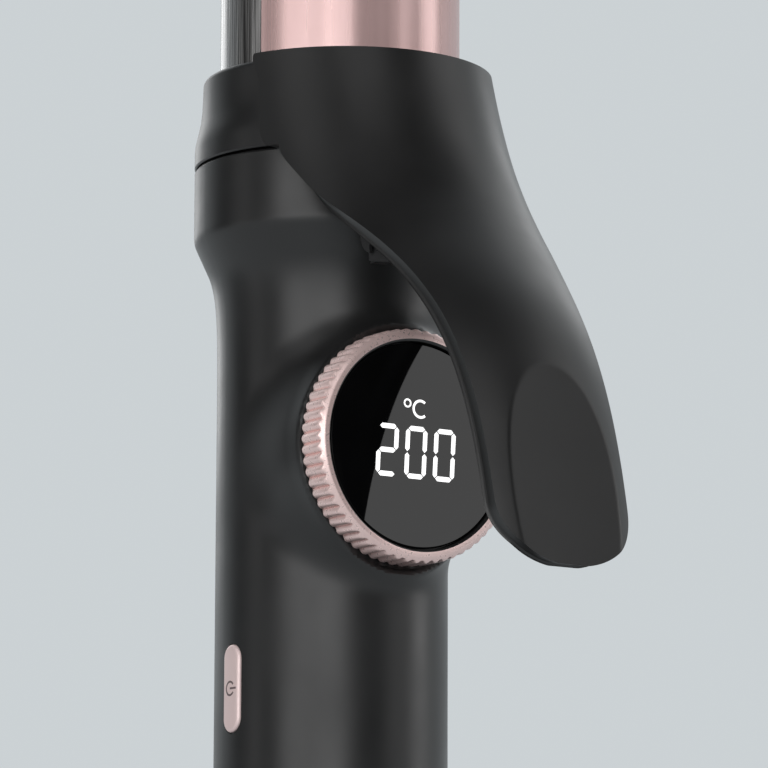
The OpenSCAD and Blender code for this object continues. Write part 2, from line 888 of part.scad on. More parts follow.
// One level slice of the lever: the outer face from left to right, then the inner face back again
function lever_slice(t) =
    let (
        c = lever_at(t),
        h = c[1],
        w = edge_w(h, c[0]) * max(0.35, tip_w(h)),
        spread = asin(w / cover_r),
        inner_r = cover_r - lever_t,
        drop = lever_t * (sqrt(1 + pow(lever_slope(t), 2)) - 1),
        outer = [for (j = [0 : lever_cols])
            let (a = spread * (2 * j / lever_cols - 1), x = cover_r * sin(a), n = c[0] + cover_r * cos(a))
            [x, -(h < pad_top ? min(n, pad_n(h, x)) : n), z_seam + h]],
        inner = [for (j = [lever_cols : -1 : 0])
            let (
                a = spread * (2 * j / lever_cols - 1),
                x = inner_r * sin(a),
                n = c[0] + inner_r * cos(a) - drop
            )
            [x, -(h < pad_top ? min(n, pad_n(h, x) - lever_t) : n), z_seam + h]]
    )
    concat(outer, inner);

module lever() {
    color(charcoal)
    union() {
        skin([for (t = lever_ts) lever_slice(t)]);
        // Roof that closes the cover over the clip
        translate([0, 0, z_rim - 2])
            linear_extrude(1.8)
                difference() {
                    translate([0, -lever_path[0][0]]) circle(r = cover_r - lever_t / 2);
                    circle(r = clip_out + fit);
                    translate([-2 * cover_r, -edge_rim - 0.6]) square(4 * cover_r);
                }
    }
}

// Distance of the lever's inner face from the axis, at parameter t and sideways distance x
function lever_in(t, x) =
    lever_at(t)[0] + sqrt(pow(cover_r - lever_t, 2) - x * x)
    - lever_t * (sqrt(1 + pow(lever_slope(t), 2)) - 1);

// The space of the hinge pin, grown by a clearance, right across the handle
module pin_bore(clearance) {
    translate([-2 * barrel_r, -n_pin, z_pin])
        rotate([0, 90, 0])
            cylinder(h = 4 * barrel_r, r = pin_r + clearance);
}

module lever_frame() {
    eye_r = pin_r + 1.9;
    color(charcoal)
    difference() {
        union() {
            translate([0, 0, frame_z0])
                rotate([0, 0, -90 - frame_half_angle])
                    rotate_extrude(angle = 2 * frame_half_angle)
                        translate([frame_in, 0]) square([frame_out - frame_in, frame_h]);
            for (x = [-ear_x - ear_t, ear_x]) {
                difference() {
                    side_profile(x, x + ear_t)
                        polygon(concat(
                            [[barrel_r - 1, frame_z0], [barrel_r - 1, frame_z0 + 5]],
                            [for (t = [0.1 : 0.04 : 0.42])
                                [lever_in(t, ear_x + ear_t) - 0.25, z_seam + lever_at(t)[1]]],
                            [
                                [n_pin + 5, z_pin - 5], [n_pin + 1.4, z_pin - eye_r + 0.3],
                                [n_pin - eye_r + 0.2, z_pin + 1], [n_pin - eye_r, z_seam - 3],
                                [n_pin - eye_r, frame_z0]
                            ]
                        ));
                    translate([0, 0, z_seam]) cylinder(h = collar_h, r = frame_in + 0.4);
                }
                side_profile(x, x + ear_t) translate([n_pin, z_pin]) circle(r = eye_r);
            }
        }
        pin_bore(run);
        for (s = [-1, 1])
            translate([0, 0, clip_screw_z])
                rotate([90, 0, s * clip_screw_angle]) cylinder(h = 2 * barrel_r, r = clip_screw_r + fit);
    }
}

// ---- Hinge ----

lug_in = 3;
lug_out = ear_x - 0.3;
block_z0 = z_taper + 0.5;
base_top = max(shoulder_r - 0.8, shell_r(z_pin - 2.8) + 1);

module hinge_block() {
    lug_r = pin_r + 2;
    color(charcoal)
    difference() {
        union() {
            side_profile(-lug_out, lug_out)
                polygon([
                    [grip_in, block_z0], [base_top - 1.2, block_z0], [base_top, z_pin - 4.5],
                    [base_top, z_pin - 2.8], [base_top - 1, z_pin - 1.5], [grip_in, z_pin - 1.5]
                ]);
            for (x = [-lug_out, lug_in]) {
                side_profile(x, x + lug_out - lug_in)
                    polygon([
                        [grip_in, block_z0], [base_top - 1.2, block_z0],
                        [n_pin + lug_r * 0.8, z_pin - lug_r * 0.6], [n_pin, z_pin + lug_r],
                        [base_top, z_pin + lug_r + 3], [grip_in, z_pin + lug_r + 3]
                    ]);
                side_profile(x, x + lug_out - lug_in) translate([n_pin, z_pin]) circle(r = lug_r);
            }
        }
        shell_envelope(hair, ledge_z - 20, z_shell_top);
        pin_bore(hair);
        for (s = [-1, 1])
            translate([s * hinge_screw_x, 0, hinge_screw_z])
                rotate([90, 0, 0]) cylinder(h = base_top - 0.6, r = hinge_screw_r + hair);
    }
}

module hinge_screws() {
    color(steel)
    for (s = [-1, 1])
        translate([s * hinge_screw_x, 0, hinge_screw_z])
            rotate([90, 0, 0]) {
                translate([0, 0, spot_depth]) cylinder(h = base_top - 1.2 - spot_depth, r = hinge_screw_r);
                translate([0, 0, spot_depth - 1.4]) cylinder(h = 1.4, r = 2 * hinge_screw_r);
            }
}

groove_x = ear_x + ear_t + 0.3;
groove_w = 0.6;
groove_r = pin_r - 0.35;

module hinge_pin() {
    half = groove_x + groove_w + 0.5;
    color(steel)
    translate([-half, -n_pin, z_pin])
        rotate([0, 90, 0])
            difference() {
                cylinder(h = 2 * half, r = pin_r);
                for (z = [0.5, 2 * half - 0.5 - groove_w])
                    translate([0, 0, z])
                        difference() {
                            cylinder(h = groove_w, r = 2 * pin_r);
                            cylinder(h = groove_w, r = groove_r);
                        }
            }
}

module pin_clips() {
    color(steel)
    for (x = [groove_x + 0.05, -groove_x - groove_w + 0.05])
        translate([x, -n_pin, z_pin])
            rotate([0, 90, 0])
                difference() {
                    cylinder(h = groove_w - 0.1, r = 2 * pin_r);
                    translate([0, 0, -1]) cylinder(h = 3, r = groove_r + hair);
                    translate([groove_r, -groove_r * 0.7, -1]) cube([2 * pin_r, groove_r * 1.4, 3]);
                }
}

spring_wire = 0.45;
spring_r = pin_r + 1.05;
spring_turns = 4.5;
spring_half = lug_in - 0.35 - spring_wire;

module clip_spring() {
    per_turn = 14;
    count = spring_turns * per_turn;
    coil = [for (i = [0 : count])
        let (a = 360 * i / per_turn)
        [mix(-spring_half, spring_half, i / count), -n_pin + spring_r * cos(a), z_pin - spring_r * sin(a)]];
    fixed_leg = [[-spring_half, -n_pin + spring_r, z_pin + 5], [-spring_half, -n_pin + spring_r, z_pin + 2]];
    free_leg = [
        [spring_half, -n_pin - spring_r, z_pin + 2],
        [spring_half, -n_pin - spring_r - 1.6, z_pin + 5.5]
    ];
    color(steel) wire(concat(fixed_leg, coil, free_leg), spring_wire, [1, 0, 0], 6);
}

handle_shell();
tail_cap();
swivel_hub();
swivel_retainer();
tail_screws();
contact_rings();
brush_holder();
contact_brushes();
supply_leads();
main_board();
terminal_block();
mains_capacitor();
choke_coil();
triac();
board_fuse();
button_switch();
power_button();
ribbon_cable();
display_board();
display_module();
dial_hub();
dial_glass();
dial_ring();
dial_seal();
dial_screws();
barrel_base();
base_screws();
collar_ring();
barrel_tube();
heat_spreaders();
heater_element();
thermistor();
thermal_fuse();
heater_leads();
tip_plug();
tip_cap();
tip_screw();
tip_disc();
clip_plate();
clip_screws();
lever();
lever_frame();
hinge_block();
hinge_screws();
hinge_pin();
pin_clips();
clip_spring();
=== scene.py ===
import math

import bmesh
import bpy
import numpy as np
from mathutils import Matrix, Vector


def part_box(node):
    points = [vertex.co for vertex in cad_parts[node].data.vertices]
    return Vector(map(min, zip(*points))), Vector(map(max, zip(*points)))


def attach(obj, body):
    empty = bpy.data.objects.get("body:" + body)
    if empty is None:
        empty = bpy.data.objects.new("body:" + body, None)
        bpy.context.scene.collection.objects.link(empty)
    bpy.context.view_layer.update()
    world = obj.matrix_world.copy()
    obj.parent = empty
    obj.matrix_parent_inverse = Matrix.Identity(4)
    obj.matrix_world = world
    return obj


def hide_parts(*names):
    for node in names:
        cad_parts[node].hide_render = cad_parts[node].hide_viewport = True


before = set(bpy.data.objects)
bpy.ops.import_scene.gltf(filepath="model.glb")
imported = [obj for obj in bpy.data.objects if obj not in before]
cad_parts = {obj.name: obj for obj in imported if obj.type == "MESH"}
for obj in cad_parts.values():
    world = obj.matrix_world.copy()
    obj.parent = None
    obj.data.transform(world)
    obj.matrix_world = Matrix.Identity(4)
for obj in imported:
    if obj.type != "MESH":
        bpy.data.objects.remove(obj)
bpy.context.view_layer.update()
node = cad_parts
mm = 0.001

# ---- Handle shell ----
# One tube of charcoal ABS with a soft-touch coating, from the tail to the seam under the collar.
# It swells to a shoulder at the top, and a round boss grows out of its front to seat the dial.


def middle_of(part, axis):
    """The middle of a CAD node's box along x, y or z."""
    return sum(getattr(corner, axis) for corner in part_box(part)) / 2


shell_low, shell_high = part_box("handle_shell")
shell_foot = shell_low.z
shell_top = shell_high.z
shoulder_r = shell_high.x
grip_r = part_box("barrel_tube")[1].x
shell_wall = 2.2 * mm
shoulder_foot = shell_top - 14.3 * mm
shoulder_slope = 0.455
shoulder_flare = 1.46 * mm
flare_length = 3.2 * mm
shoulder_crease = 0.35 * mm
dial_z = middle_of("dial_glass", "z")
boss_face = -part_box("dial_seal")[1].y
boss_r = grip_r - 0.1 * mm
boss_root = 4 * mm
boss_spread = 1.3
boss_blend = 9 * mm
boss_fillet = 5 * mm
face_round = 0.6 * mm
seat_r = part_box("dial_glass")[1].x - 1.1 * mm
seat_floor = 7 * mm
button_z = middle_of("power_button", "z")
tail_swell = 0.5 * mm
slot_length = 12.2 * mm
slot_width = 4.4 * mm


def add_node(tree, kind, inputs):
    """A new node, whose inputs are set to values or linked to other nodes' outputs."""
    made = tree.nodes.new("ShaderNode" + kind)
    for name, value in inputs.items():
        if isinstance(value, bpy.types.NodeSocket):
            tree.links.new(value, made.inputs[name])
        else:
            made.inputs[name].default_value = value
    return made


def object_coordinates(finish, stretch=(1, 1, 1)):
    """Texture coordinates in metres on the object, stretched along X, Y or Z."""
    place = add_node(finish.node_tree, "TexCoord", {}).outputs["Object"]
    return add_node(finish.node_tree, "Mapping", {"Vector": place, "Scale": stretch}).outputs["Vector"]


def grains(finish, size, detail=2.0, stretch=(1, 1, 1)):
    """A noise whose grains are about this size in metres."""
    inputs = {"Vector": object_coordinates(finish, stretch), "Scale": 1 / size, "Detail": detail}
    return add_node(finish.node_tree, "TexNoise", inputs).outputs["Fac"]


def spread(finish, source, low, high):
    """Spreads the middle part of a noise's range over low..high."""
    inputs = {"Value": source, "From Min": 0.3, "From Max": 0.7, "To Min": low, "To Max": high}
    return add_node(finish.node_tree, "MapRange", inputs).outputs["Result"]


def feed(finish, source, socket):
    """Links a node's output to a socket of the finish's shader."""
    tree = finish.node_tree
    tree.links.new(source, tree.nodes["Principled BSDF"].inputs[socket])


def mixed(tree, share, dark, light):
    """A colour that runs from dark to light as the share goes from 0 to 1."""
    made = tree.nodes.new("ShaderNodeMix")
    made.data_type = "RGBA"
    made.inputs["A"].default_value = (*dark, 1)
    made.inputs["B"].default_value = (*light, 1)
    tree.links.new(share, made.inputs["Factor"])
    return made.outputs["Result"]


def shade_colour(finish, source, dark, light):
    """The base colour runs from dark to light with a noise."""
    feed(finish, mixed(finish.node_tree, spread(finish, source, 0, 1), dark, light), "Base Color")


def shade_roughness(finish, source, low, high):
    """The roughness runs from low to high with a noise."""
    feed(finish, spread(finish, source, low, high), "Roughness")


def relief(finish, *layers):
    """Bumps from (noise, height in metres) layers, one on top of the other."""
    normal = None
    for source, height in layers:
        inputs = {"Distance": height, "Height": source}
        if normal is not None:
            inputs["Normal"] = normal
        normal = add_node(finish.node_tree, "Bump", inputs).outputs["Normal"]
    feed(finish, normal, "Normal")


def new_finish(name, inputs):
    """A finish with some inputs of its principled shader set."""
    finish = bpy.data.materials.new(name)
    finish.use_nodes = True
    shader = finish.node_tree.nodes["Principled BSDF"]
    for socket, value in inputs.items():
        shader.inputs[socket].default_value = value
    return finish


def moulded(name, dark, light, rough, grain, depth):
    """Moulded plastic with a spark-eroded grain, a faint mottle and patches polished by hands."""
    finish = new_finish(name, {})
    shade_colour(finish, grains(finish, 9 * mm, 4), dark, light)
    shade_roughness(finish, grains(finish, 14 * mm, 5), rough - 0.05, rough + 0.05)
    relief(finish, (grains(finish, grain, 3), depth), (grains(finish, 22 * mm, 1), 20 * depth))
    return finish


soft_touch = moulded("soft_touch_charcoal", (0.0105, 0.0105, 0.0107), (0.0135, 0.0135, 0.0138),
                     0.38, 0.16 * mm, 0.003 * mm)


def half_wave(share):
    """Rises smoothly from 0 to 1 as share goes from 0 to 1."""
    return 0.5 - 0.5 * np.cos(np.pi * np.clip(share, 0, 1))


def soft_min(a, b, blend):
    """The smaller of a and b, with the crease between them filled over a width."""
    share = np.clip(0.5 + 0.5 * (b - a) / blend, 0, 1)
    return b * (1 - share) + a * share - blend * share * (1 - share)


def shell_radius(z):
    """Outer radius of the round part of the handle at a height."""
    above = z - shoulder_foot
    flare = shoulder_flare * np.exp(np.minimum(above, 0) / flare_length)
    flank = grip_r + flare + shoulder_slope * np.maximum(above, 0)
    swell = tail_swell * np.clip((button_z - z) / button_z, 0, 1) ** 2
    return soft_min(flank, shoulder_r, shoulder_crease) + swell


def skin(rings, loop=True, capped=True):
    """Points and faces of a wall through rings that all have the same number of points."""
    rings = np.asarray(rings, float)
    count, width = rings.shape[:2]
    start = np.arange(count - 1)[:, None] * width
    this = np.arange(width if loop else width - 1)[None, :]
    following = (this + 1) % width
    quads = np.stack([start + this, start + following, start + width + following, start + width + this], -1)
    faces = quads.reshape(-1, 4).tolist()
    if capped:
        faces.append(list(range(width - 1, -1, -1)))
        faces.append(list(range((count - 1) * width, count * width)))
    return rings.reshape(-1, 3), faces


def new_object(name, data):
    """An object in the scene that holds a mesh, a lamp or a camera."""
    made = bpy.data.objects.new(name, data)
    bpy.context.scene.collection.objects.link(made)
    return made


def mesh_object(name, points, faces):
    """A mesh object whose faces all look outwards."""
    mesh = bpy.data.meshes.new(name)
    mesh.from_pydata(np.asarray(points).tolist(), [], faces)
    work = bmesh.new()
    work.from_mesh(mesh)
    bmesh.ops.recalc_face_normals(work, faces=work.faces)
    work.to_mesh(mesh)
    work.free()
    return new_object(name, mesh)


def combine(target, tool, how="DIFFERENCE"):
    """Cuts tool from target, joins them or keeps their common part. The tool is used up."""
    modifier = target.modifiers.new("combine", "BOOLEAN")
    modifier.operation = how
    modifier.solver = "MANIFOLD"
    modifier.object = tool
    bpy.context.view_layer.update()
    evaluated = target.evaluated_get(bpy.context.evaluated_depsgraph_get())
    mesh = bpy.data.meshes.new_from_object(evaluated)
    mesh.name = target.name
    target.modifiers.clear()
    target.data = mesh
    bpy.data.objects.remove(tool)


def lathe(name, profile, columns=160, solid=False):
    """Turns an outline of (radius, height) points about the upright axis.

    The outline closes on itself, or runs from a flat bottom to a flat top when the piece is solid.
    """
    profile = np.asarray(profile, float)
    turn = np.linspace(0, 2 * np.pi, columns, endpoint=False)
    radius, height = profile[:, 0:1], profile[:, 1:2]
    rings = np.stack([radius * np.cos(turn), radius * np.sin(turn), height + 0 * turn], -1)
    if solid:
        return mesh_object(name, *skin(rings))
    rings = np.concatenate([rings, rings[:1]])
    points, faces = skin(rings, capped=False)
    wrap = len(profile) * columns
    faces = [[corner % wrap for corner in face] for face in faces]
    return mesh_object(name, points[:wrap], faces)


def rod(name, radius, foot, top, columns=96):
    """A solid upright cylinder between two heights."""
    return lathe(name, [(radius, foot), (radius, top)], columns, solid=True)


def stadium(length, width):
    """Points around a pill: length along the first coordinate, width along the second."""
    turn = np.linspace(-np.pi / 2, np.pi / 2, 24)
    cap = np.stack([np.cos(turn), np.sin(turn)], -1) * width / 2
    right = cap + ((length - width) / 2, 0)
    return np.concatenate([right, -right])


def facing_front(made):
    """Turns a piece made about Z so that it faces -Y from the dial's centre."""
    made.data.transform(Matrix.Translation((0, 0, dial_z)) @ Matrix.Rotation(math.pi / 2, 4, "X"))
    return made


def settle(made, body, finish, slot, *stands_for, crease=40):
    """Shades, paints and hands over a finished piece."""
    made.data.materials.clear()
    made.data.materials.append(finish)
    made.data.shade_smooth()
    made.data.set_sharp_from_angle(angle=math.radians(crease))
    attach(made, body)
    if stands_for:
        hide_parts(*stands_for)


def cad_copy(name, part):
    """A closed copy of a CAD node's mesh, with its split corners joined."""
    work = bmesh.new()
    work.from_mesh(node[part].data)
    bmesh.ops.remove_doubles(work, verts=work.verts, dist=0.002 * mm)
    mesh = bpy.data.meshes.new(name)
    work.to_mesh(mesh)
    work.free()
    for layer in ("custom_normal", "sharp_edge"):
        if layer in mesh.attributes:
            mesh.attributes.remove(mesh.attributes[layer])
    return new_object(name, mesh)


shell_turn = np.radians(np.concatenate([np.arange(-100, 100, 1), np.arange(100, 260, 4)]))
shell_levels = np.concatenate([
    [shell_foot, shell_foot + 0.25 * mm],
    np.arange(shell_foot + 2 * mm, dial_z - 23 * mm, 2 * mm),
    np.arange(dial_z - 23 * mm, shell_top - 8 * mm, 0.35 * mm),
    [shell_top - 7 * mm, shell_top - 4 * mm, shell_top - 0.3 * mm, shell_top],
])


def outside_shell(radius, turn, z):
    """Signed distance of a point from the handle's outer surface, more or less."""
    x = radius * np.sin(turn)
    n = radius * np.cos(turn)
    around = np.hypot(x, z - dial_z) - boss_r
    boss = around - boss_spread * soft_min(n - boss_root, 0, boss_blend)
    body = soft_min(radius - shell_radius(z), boss, boss_fillet)
    face = boss_face + np.maximum(around - face_round / 2, 0)
    return -soft_min(-body, face - n, face_round)


def shell_surface():
    """Rings of points on the handle's outer surface, found by halving the way along each ray."""
    turn, z = np.meshgrid(shell_turn, shell_levels)
    inner = np.full(z.shape, 0.6 * shoulder_r)
    outer = np.full(z.shape, 1.3 * shoulder_r)
    for _ in range(30):
        middle = (inner + outer) / 2
        beyond = outside_shell(middle, turn, z) > 0
        outer = np.where(beyond, middle, outer)
        inner = np.where(beyond, inner, middle)
    inner[0] -= 0.2 * mm
    inner[-1] -= 0.25 * mm
    return np.stack([inner * np.sin(turn), -inner * np.cos(turn), z], -1)


def shell_core(name, margin, low, high):
    """The solid inside the handle's outer surface, less a margin."""
    levels = np.linspace(low, high, 60)
    return lathe(name, [(shell_radius(level) - margin, level) for level in levels], solid=True)


handle = mesh_object("handle_moulding", *skin(shell_surface()))
combine(handle, shell_core("cavity", shell_wall, shell_foot - 1 * mm, shell_top + 1 * mm))
ledges = cad_copy("ledges", "handle_shell")
combine(ledges, shell_core("lining", shell_wall / 2, shell_foot + 2 * mm, shell_top - 2 * mm), "INTERSECT")
combine(handle, ledges, "UNION")
combine(handle, facing_front(rod("seat", seat_r, seat_floor, seat_floor + 40 * mm)))
slot_rings = [
    [(-out, across, button_z + along) for along, across in stadium(slot_length, slot_width)]
    for out in (8 * mm, 26 * mm)
]
combine(handle, mesh_object("slot", *skin(slot_rings)))
settle(handle, "handle", soft_touch, "charcoal_plastic", "handle_shell", crease=35)

# ---- Tail cap ----
# A charcoal cap that plugs into the bottom of the handle and is held by two screws from outside.
# Its rounded foot carries the swivel that the supply lead would come out of.
cap_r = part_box("tail_cap")[1].x
cap_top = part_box("tail_cap")[1].z
cap_round = 5 * mm
spigot_r = shell_radius(np.array(cap_top)) - shell_wall - 0.1 * mm
spigot_bore = spigot_r - 1.6 * mm
hub_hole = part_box("contact_rings")[1].x + 0.56 * mm
flange_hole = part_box("swivel_hub")[1].x + 0.3 * mm
flange_floor = 3 * mm
flange_top = 4.8 * mm
tail_screw_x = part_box("tail_screws")[1].x - 1.3 * mm
tail_screw_bore = 1.02 * mm


def arc(centre, radius, start, end, steps):
    """Points on an arc between two angles in degrees."""
    turn = np.radians(np.linspace(start, end, steps))
    return [(centre[0] + radius * math.cos(a), centre[1] + radius * math.sin(a)) for a in turn]


tail_outline = [(hub_hole, 0.3 * mm), (hub_hole + 0.3 * mm, 0)]
tail_outline += arc((cap_r - cap_round, cap_round), cap_round, -90, 0, 16)
tail_outline += [(cap_r, shell_foot - 0.25 * mm), (cap_r - 0.25 * mm, shell_foot), (spigot_r, shell_foot)]
tail_outline += [(spigot_r, cap_top), (spigot_bore, cap_top), (spigot_bore, flange_top)]
tail_outline += [(flange_hole, flange_top), (flange_hole, flange_floor), (hub_hole, flange_floor)]
tail = lathe("tail_cap_moulding", tail_outline)
for side in (-1, 1):
    hole = rod("hole", tail_screw_bore, flange_floor / 2, cap_top + 5 * mm, 32)
    hole.data.transform(Matrix.Translation((side * tail_screw_x, 0, 0)))
    combine(tail, hole)
settle(tail, "handle", soft_touch, "charcoal_plastic", "tail_cap")

# ---- Cord swivel ----
# A black nylon hub with a bore for the supply lead turns in the tail cap, held by a retaining washer.
# Two copper rings on its stem and a pair of sprung brushes carry the current past the turning joint.


def bumpy_metal(name, colour, rough, size=0.4 * mm, depth=0.002 * mm, stretch=(1, 1, 1)):
    """Bare metal with a drawn or rolled surface and a faint tarnish."""
    finish = new_finish(name, {"Metallic": 1})
    tarnished = [channel * 0.82 for channel in colour]
    shade_colour(finish, grains(finish, 6 * mm, 4), tarnished, colour)
    shade_roughness(finish, grains(finish, 3 * mm, 4, stretch), rough - 0.06, rough + 0.08)
    relief(finish, (grains(finish, size, 3, stretch), depth))
    return finish


def bevelled(made, edge, crease=35, segments=2):
    """Breaks the edges of a piece that are sharper than the crease, in degrees."""
    bevel = made.modifiers.new("edges", "BEVEL")
    bevel.width = edge
    bevel.segments = segments
    bevel.limit_method = "ANGLE"
    bevel.angle_limit = math.radians(crease)
    return made


def softened(name, part, body, finish, slot, edge, crease=35):
    """A CAD part with its sharp edges broken, as the moulded or machined piece has them."""
    settle(bevelled(cad_copy(name, part), edge, crease), body, finish, slot, part, crease=crease)


def repaint(finish, *parts):
    """Gives CAD nodes that keep their own shape a new finish."""
    for part in parts:
        node[part].data.materials.clear()
        node[part].data.materials.append(finish)


black_nylon = moulded("black_nylon", (0.012, 0.012, 0.012), (0.018, 0.018, 0.018),
                      0.36, 0.25 * mm, 0.004 * mm)
steel = bumpy_metal("zinc_plated_steel", (0.62, 0.63, 0.64), 0.26)
copper = bumpy_metal("copper", (0.80, 0.43, 0.28), 0.24)
softened("swivel_hub_turned", "swivel_hub", "swivel", black_nylon, "black_plastic", 0.3 * mm)
softened("tail_screws_finished", "tail_screws", "handle", steel, "steel", 0.15 * mm)
repaint(steel, "swivel_retainer")
repaint(copper, "contact_rings", "contact_brushes")
repaint(black_nylon, "brush_holder")

# ---- Circuit inside the handle ----
# A green epoxy board on rails carries the terminal block, capacitor, choke, triac, fuse and switch.
# PVC-covered leads join it to the brushes below, to the heater above and to the display in the boss.


def coloured(name, colour, rough, grain=0.3 * mm, depth=0.004 * mm):
    """Plain coloured plastic or lacquer with a slight mottle."""
    lighter = [min(1, channel * 1.25) for channel in colour]
    return moulded(name, colour, lighter, rough, grain, depth)


board_green = new_finish("solder_mask_green", {})
tracks = add_node(board_green.node_tree, "TexBrick", {
    "Vector": object_coordinates(board_green), "Scale": 220, "Mortar Size": 0.03,
    "Color1": (0.012, 0.10, 0.045, 1), "Color2": (0.016, 0.13, 0.06, 1), "Mortar": (0.05, 0.24, 0.11, 1),
})
feed(board_green, tracks.outputs["Color"], "Base Color")
shade_roughness(board_green, grains(board_green, 2 * mm, 3), 0.22, 0.38)
relief(board_green, (grains(board_green, 0.5 * mm, 2), 0.01 * mm))
terminal_green = coloured("terminal_nylon", (0.03, 0.22, 0.10), 0.42)
film_capacitor = coloured("film_capacitor", (0.62, 0.42, 0.04), 0.34)
natural_nylon = coloured("natural_nylon", (0.62, 0.58, 0.49), 0.46)
grey_insulation = coloured("wire_insulation", (0.12, 0.12, 0.13), 0.45, 0.6 * mm)
repaint(board_green, "main_board", "display_board")
repaint(terminal_green, "terminal_block")
repaint(film_capacitor, "mains_capacitor")
repaint(copper, "choke_coil")
repaint(black_nylon, "triac", "button_switch", "display_module")
repaint(grey_insulation, "supply_leads", "ribbon_cable", "heater_leads")

# ---- Power button ----
# A pill of rose-gold lacquered plastic on the side of the handle, with a lip inside that keeps it in.
# Its power symbol is printed in dark ink and lies on its side.
button_face = -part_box("power_button")[0].x
button_back = -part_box("power_button")[1].x
button_length = 12 * mm
button_width = 3.9 * mm
button_round = 0.45 * mm
lip_size = 0.8 * mm
lip_depth = 2.6 * mm
rose_light = (0.94, 0.725, 0.695)
rose_deep = (0.88, 0.665, 0.635)


def rose_metal(name, metallic, tint_and_light, rough, grain, depth, stretch=(1, 1, 1)):
    """Satin rose gold with the marks of its polishing. The per-part scale gives its own tint, and above 1 it
    is painted light, below 1 painted shade.
    """
    finish = new_finish(name, {"Metallic": metallic})
    deep, light = ([share * part for share, part in zip(tint_and_light, colour)] for colour in (rose_deep, rose_light))
    shade_colour(finish, grains(finish, 12 * mm, 3), deep, light)
    shade_roughness(finish, grains(finish, grain * 4, 4, stretch), rough - 0.05, rough + 0.06)
    relief(finish, (grains(finish, grain, 3, stretch), depth))
    return finish


# The button's scale is paler in tint and a little lighter: partly its own colour, partly painted light.
rose_button = rose_metal("rose_gold_button", 0.25, (1.04, 1.08, 1.1), 0.42, 0.2 * mm, 0.001 * mm)


def button_ring(inset, depth):
    """A pill outline on the button, drawn in by an inset, at a depth behind its curved face."""
    ring = stadium(button_length - 2 * inset, button_width - 2 * inset)
    across = ring[:, 1]
    out = np.sqrt(button_face ** 2 - across ** 2) - depth
    return np.stack([-out, across, button_z + ring[:, 0]], -1)


button_rings = [button_ring(inset, 0) for inset in np.linspace(button_width / 2 - 0.05 * mm, button_round, 6)]
for angle in np.radians(np.arange(15, 91, 15)):
    inset = button_round * (1 - math.sin(angle))
    button_rings.append(button_ring(inset, button_round * (1 - math.cos(angle))))
button_rings.append(button_ring(0, lip_depth))
lip_front = button_face - lip_depth - 0.05 * mm
for inset, out in ((-lip_size, lip_front), (-lip_size, button_back), (0, button_back)):
    ring = stadium(button_length - 2 * inset, button_width - 2 * inset)
    button_rings.append(np.stack([-out + 0 * ring[:, 0], ring[:, 1], button_z + ring[:, 0]], -1))
button = mesh_object("power_button_moulding", *skin(button_rings))
settle(button, "button", rose_button, "rose_metal", "power_button", crease=50)

ink = coloured("dark_ink", (0.14, 0.10, 0.10), 0.5)


def stroke(inner, outer, start, end):
    """A curved stroke between two radii and two angles in degrees, as two matching edges."""
    turn = np.radians(np.linspace(start, end, 40))
    way = np.stack([np.cos(turn), np.sin(turn)], -1)
    return way * inner, way * outer


def printed(name, strokes, place, body, finish, slot):
    """Thin printed strokes. Each is a pair of matching edges on a flat pattern.

    place(across, along, lift) puts the pattern on the object, and a lift of 1 is the top of the print.
    """
    points = []
    faces = []
    for one_edge, other_edge in strokes:
        rings = [
            [place(*flat, lift) for flat, lift in ((a, 0), (b, 0), (b, 1), (a, 1))]
            for a, b in zip(one_edge, other_edge)
        ]
        more_points, more_faces = skin(rings)
        faces.extend([corner + len(points) for corner in face] for face in more_faces)
        points.extend(more_points.tolist())
    settle(mesh_object(name, points, faces), body, finish, slot)


def on_button(across, along, lift):
    """A place on the curved face of the button, a hair above it when lift is 1."""
    out = math.sqrt(button_face ** 2 - across ** 2) - (0.02 - 0.03 * lift) * mm
    return (-out, across, button_z + along)


symbol_r = 1.05 * mm
symbol_line = 0.27 * mm
symbol_gap = 35
bar = np.array([(0, 0), (0, 0.7 * mm), (0, 1.4 * mm)])
printed(
    "power_symbol",
    [
        stroke(symbol_r - symbol_line, symbol_r, 90 + symbol_gap, 450 - symbol_gap),
        (bar - (symbol_line / 2, 0), bar + (symbol_line / 2, 0)),
    ],
    lambda across, along, lift: on_button(-along, across, lift),
    "button", ink, "black_plastic",
)

# ---- Dial ----
# A black hub screwed into the boss carries the display under a flat disc of tinted glass.
# A knurled ring of rose-gold metal turns around the hub on a felt washer, and sets the temperature.
glass_low, glass_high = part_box("dial_glass")
glass_front = -glass_low.y
glass_back = -glass_high.y
glass_r = glass_high.x
ring_low, ring_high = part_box("dial_ring")
ring_back = -ring_high.y
ring_front = -ring_low.y
ring_r = ring_high.x
ring_bore = glass_r + 0.5 * mm
rib_count = 64
rib_depth = 0.58 * mm
columns_per_rib = 14
lining = 0.3 * mm


def knurl(turn):
    """How deep the knurl is cut at an angle: 0 on the top of a rib and 1 at the bottom of a groove."""
    return 1 - np.abs(np.cos(turn * rib_count / 2)) ** 0.7


ring_turn = np.linspace(0, 2 * np.pi, rib_count * columns_per_rib, endpoint=False)
# How far in from the ribs, how far from the back or the front (both in mm) and the share of the knurl
back_edge = ((0.75, 0, 0), (0.35, 0.08, 0.4), (0.08, 0.3, 0.9), (0, 0.6, 1))
front_edge = ((0, 1.1, 1), (0.03, 0.85, 0.97), (0.1, 0.65, 0.8), (0.22, 0.5, 0.4), (0.34, 0.4, 0.1),
              (0.48, 0.3, 0), (0.7, 0.14, 0), (0.9, 0.03, 0), (1.02, 0, 0))
ring_outline = [(ring_bore + 0.75 * mm, ring_back, 0)]
ring_outline += [(ring_r - inset * mm, ring_back + up * mm, share) for inset, up, share in back_edge]
ring_outline += [(ring_r - inset * mm, ring_front - down * mm, share) for inset, down, share in front_edge]
ring_outline += [
    (ring_bore + lining, ring_front, 0),
    (ring_bore + lining, boss_face + 1.75 * mm, 0),
    (ring_bore + 0.75 * mm, boss_face + 1.75 * mm, 0),
]
ring_rows = []
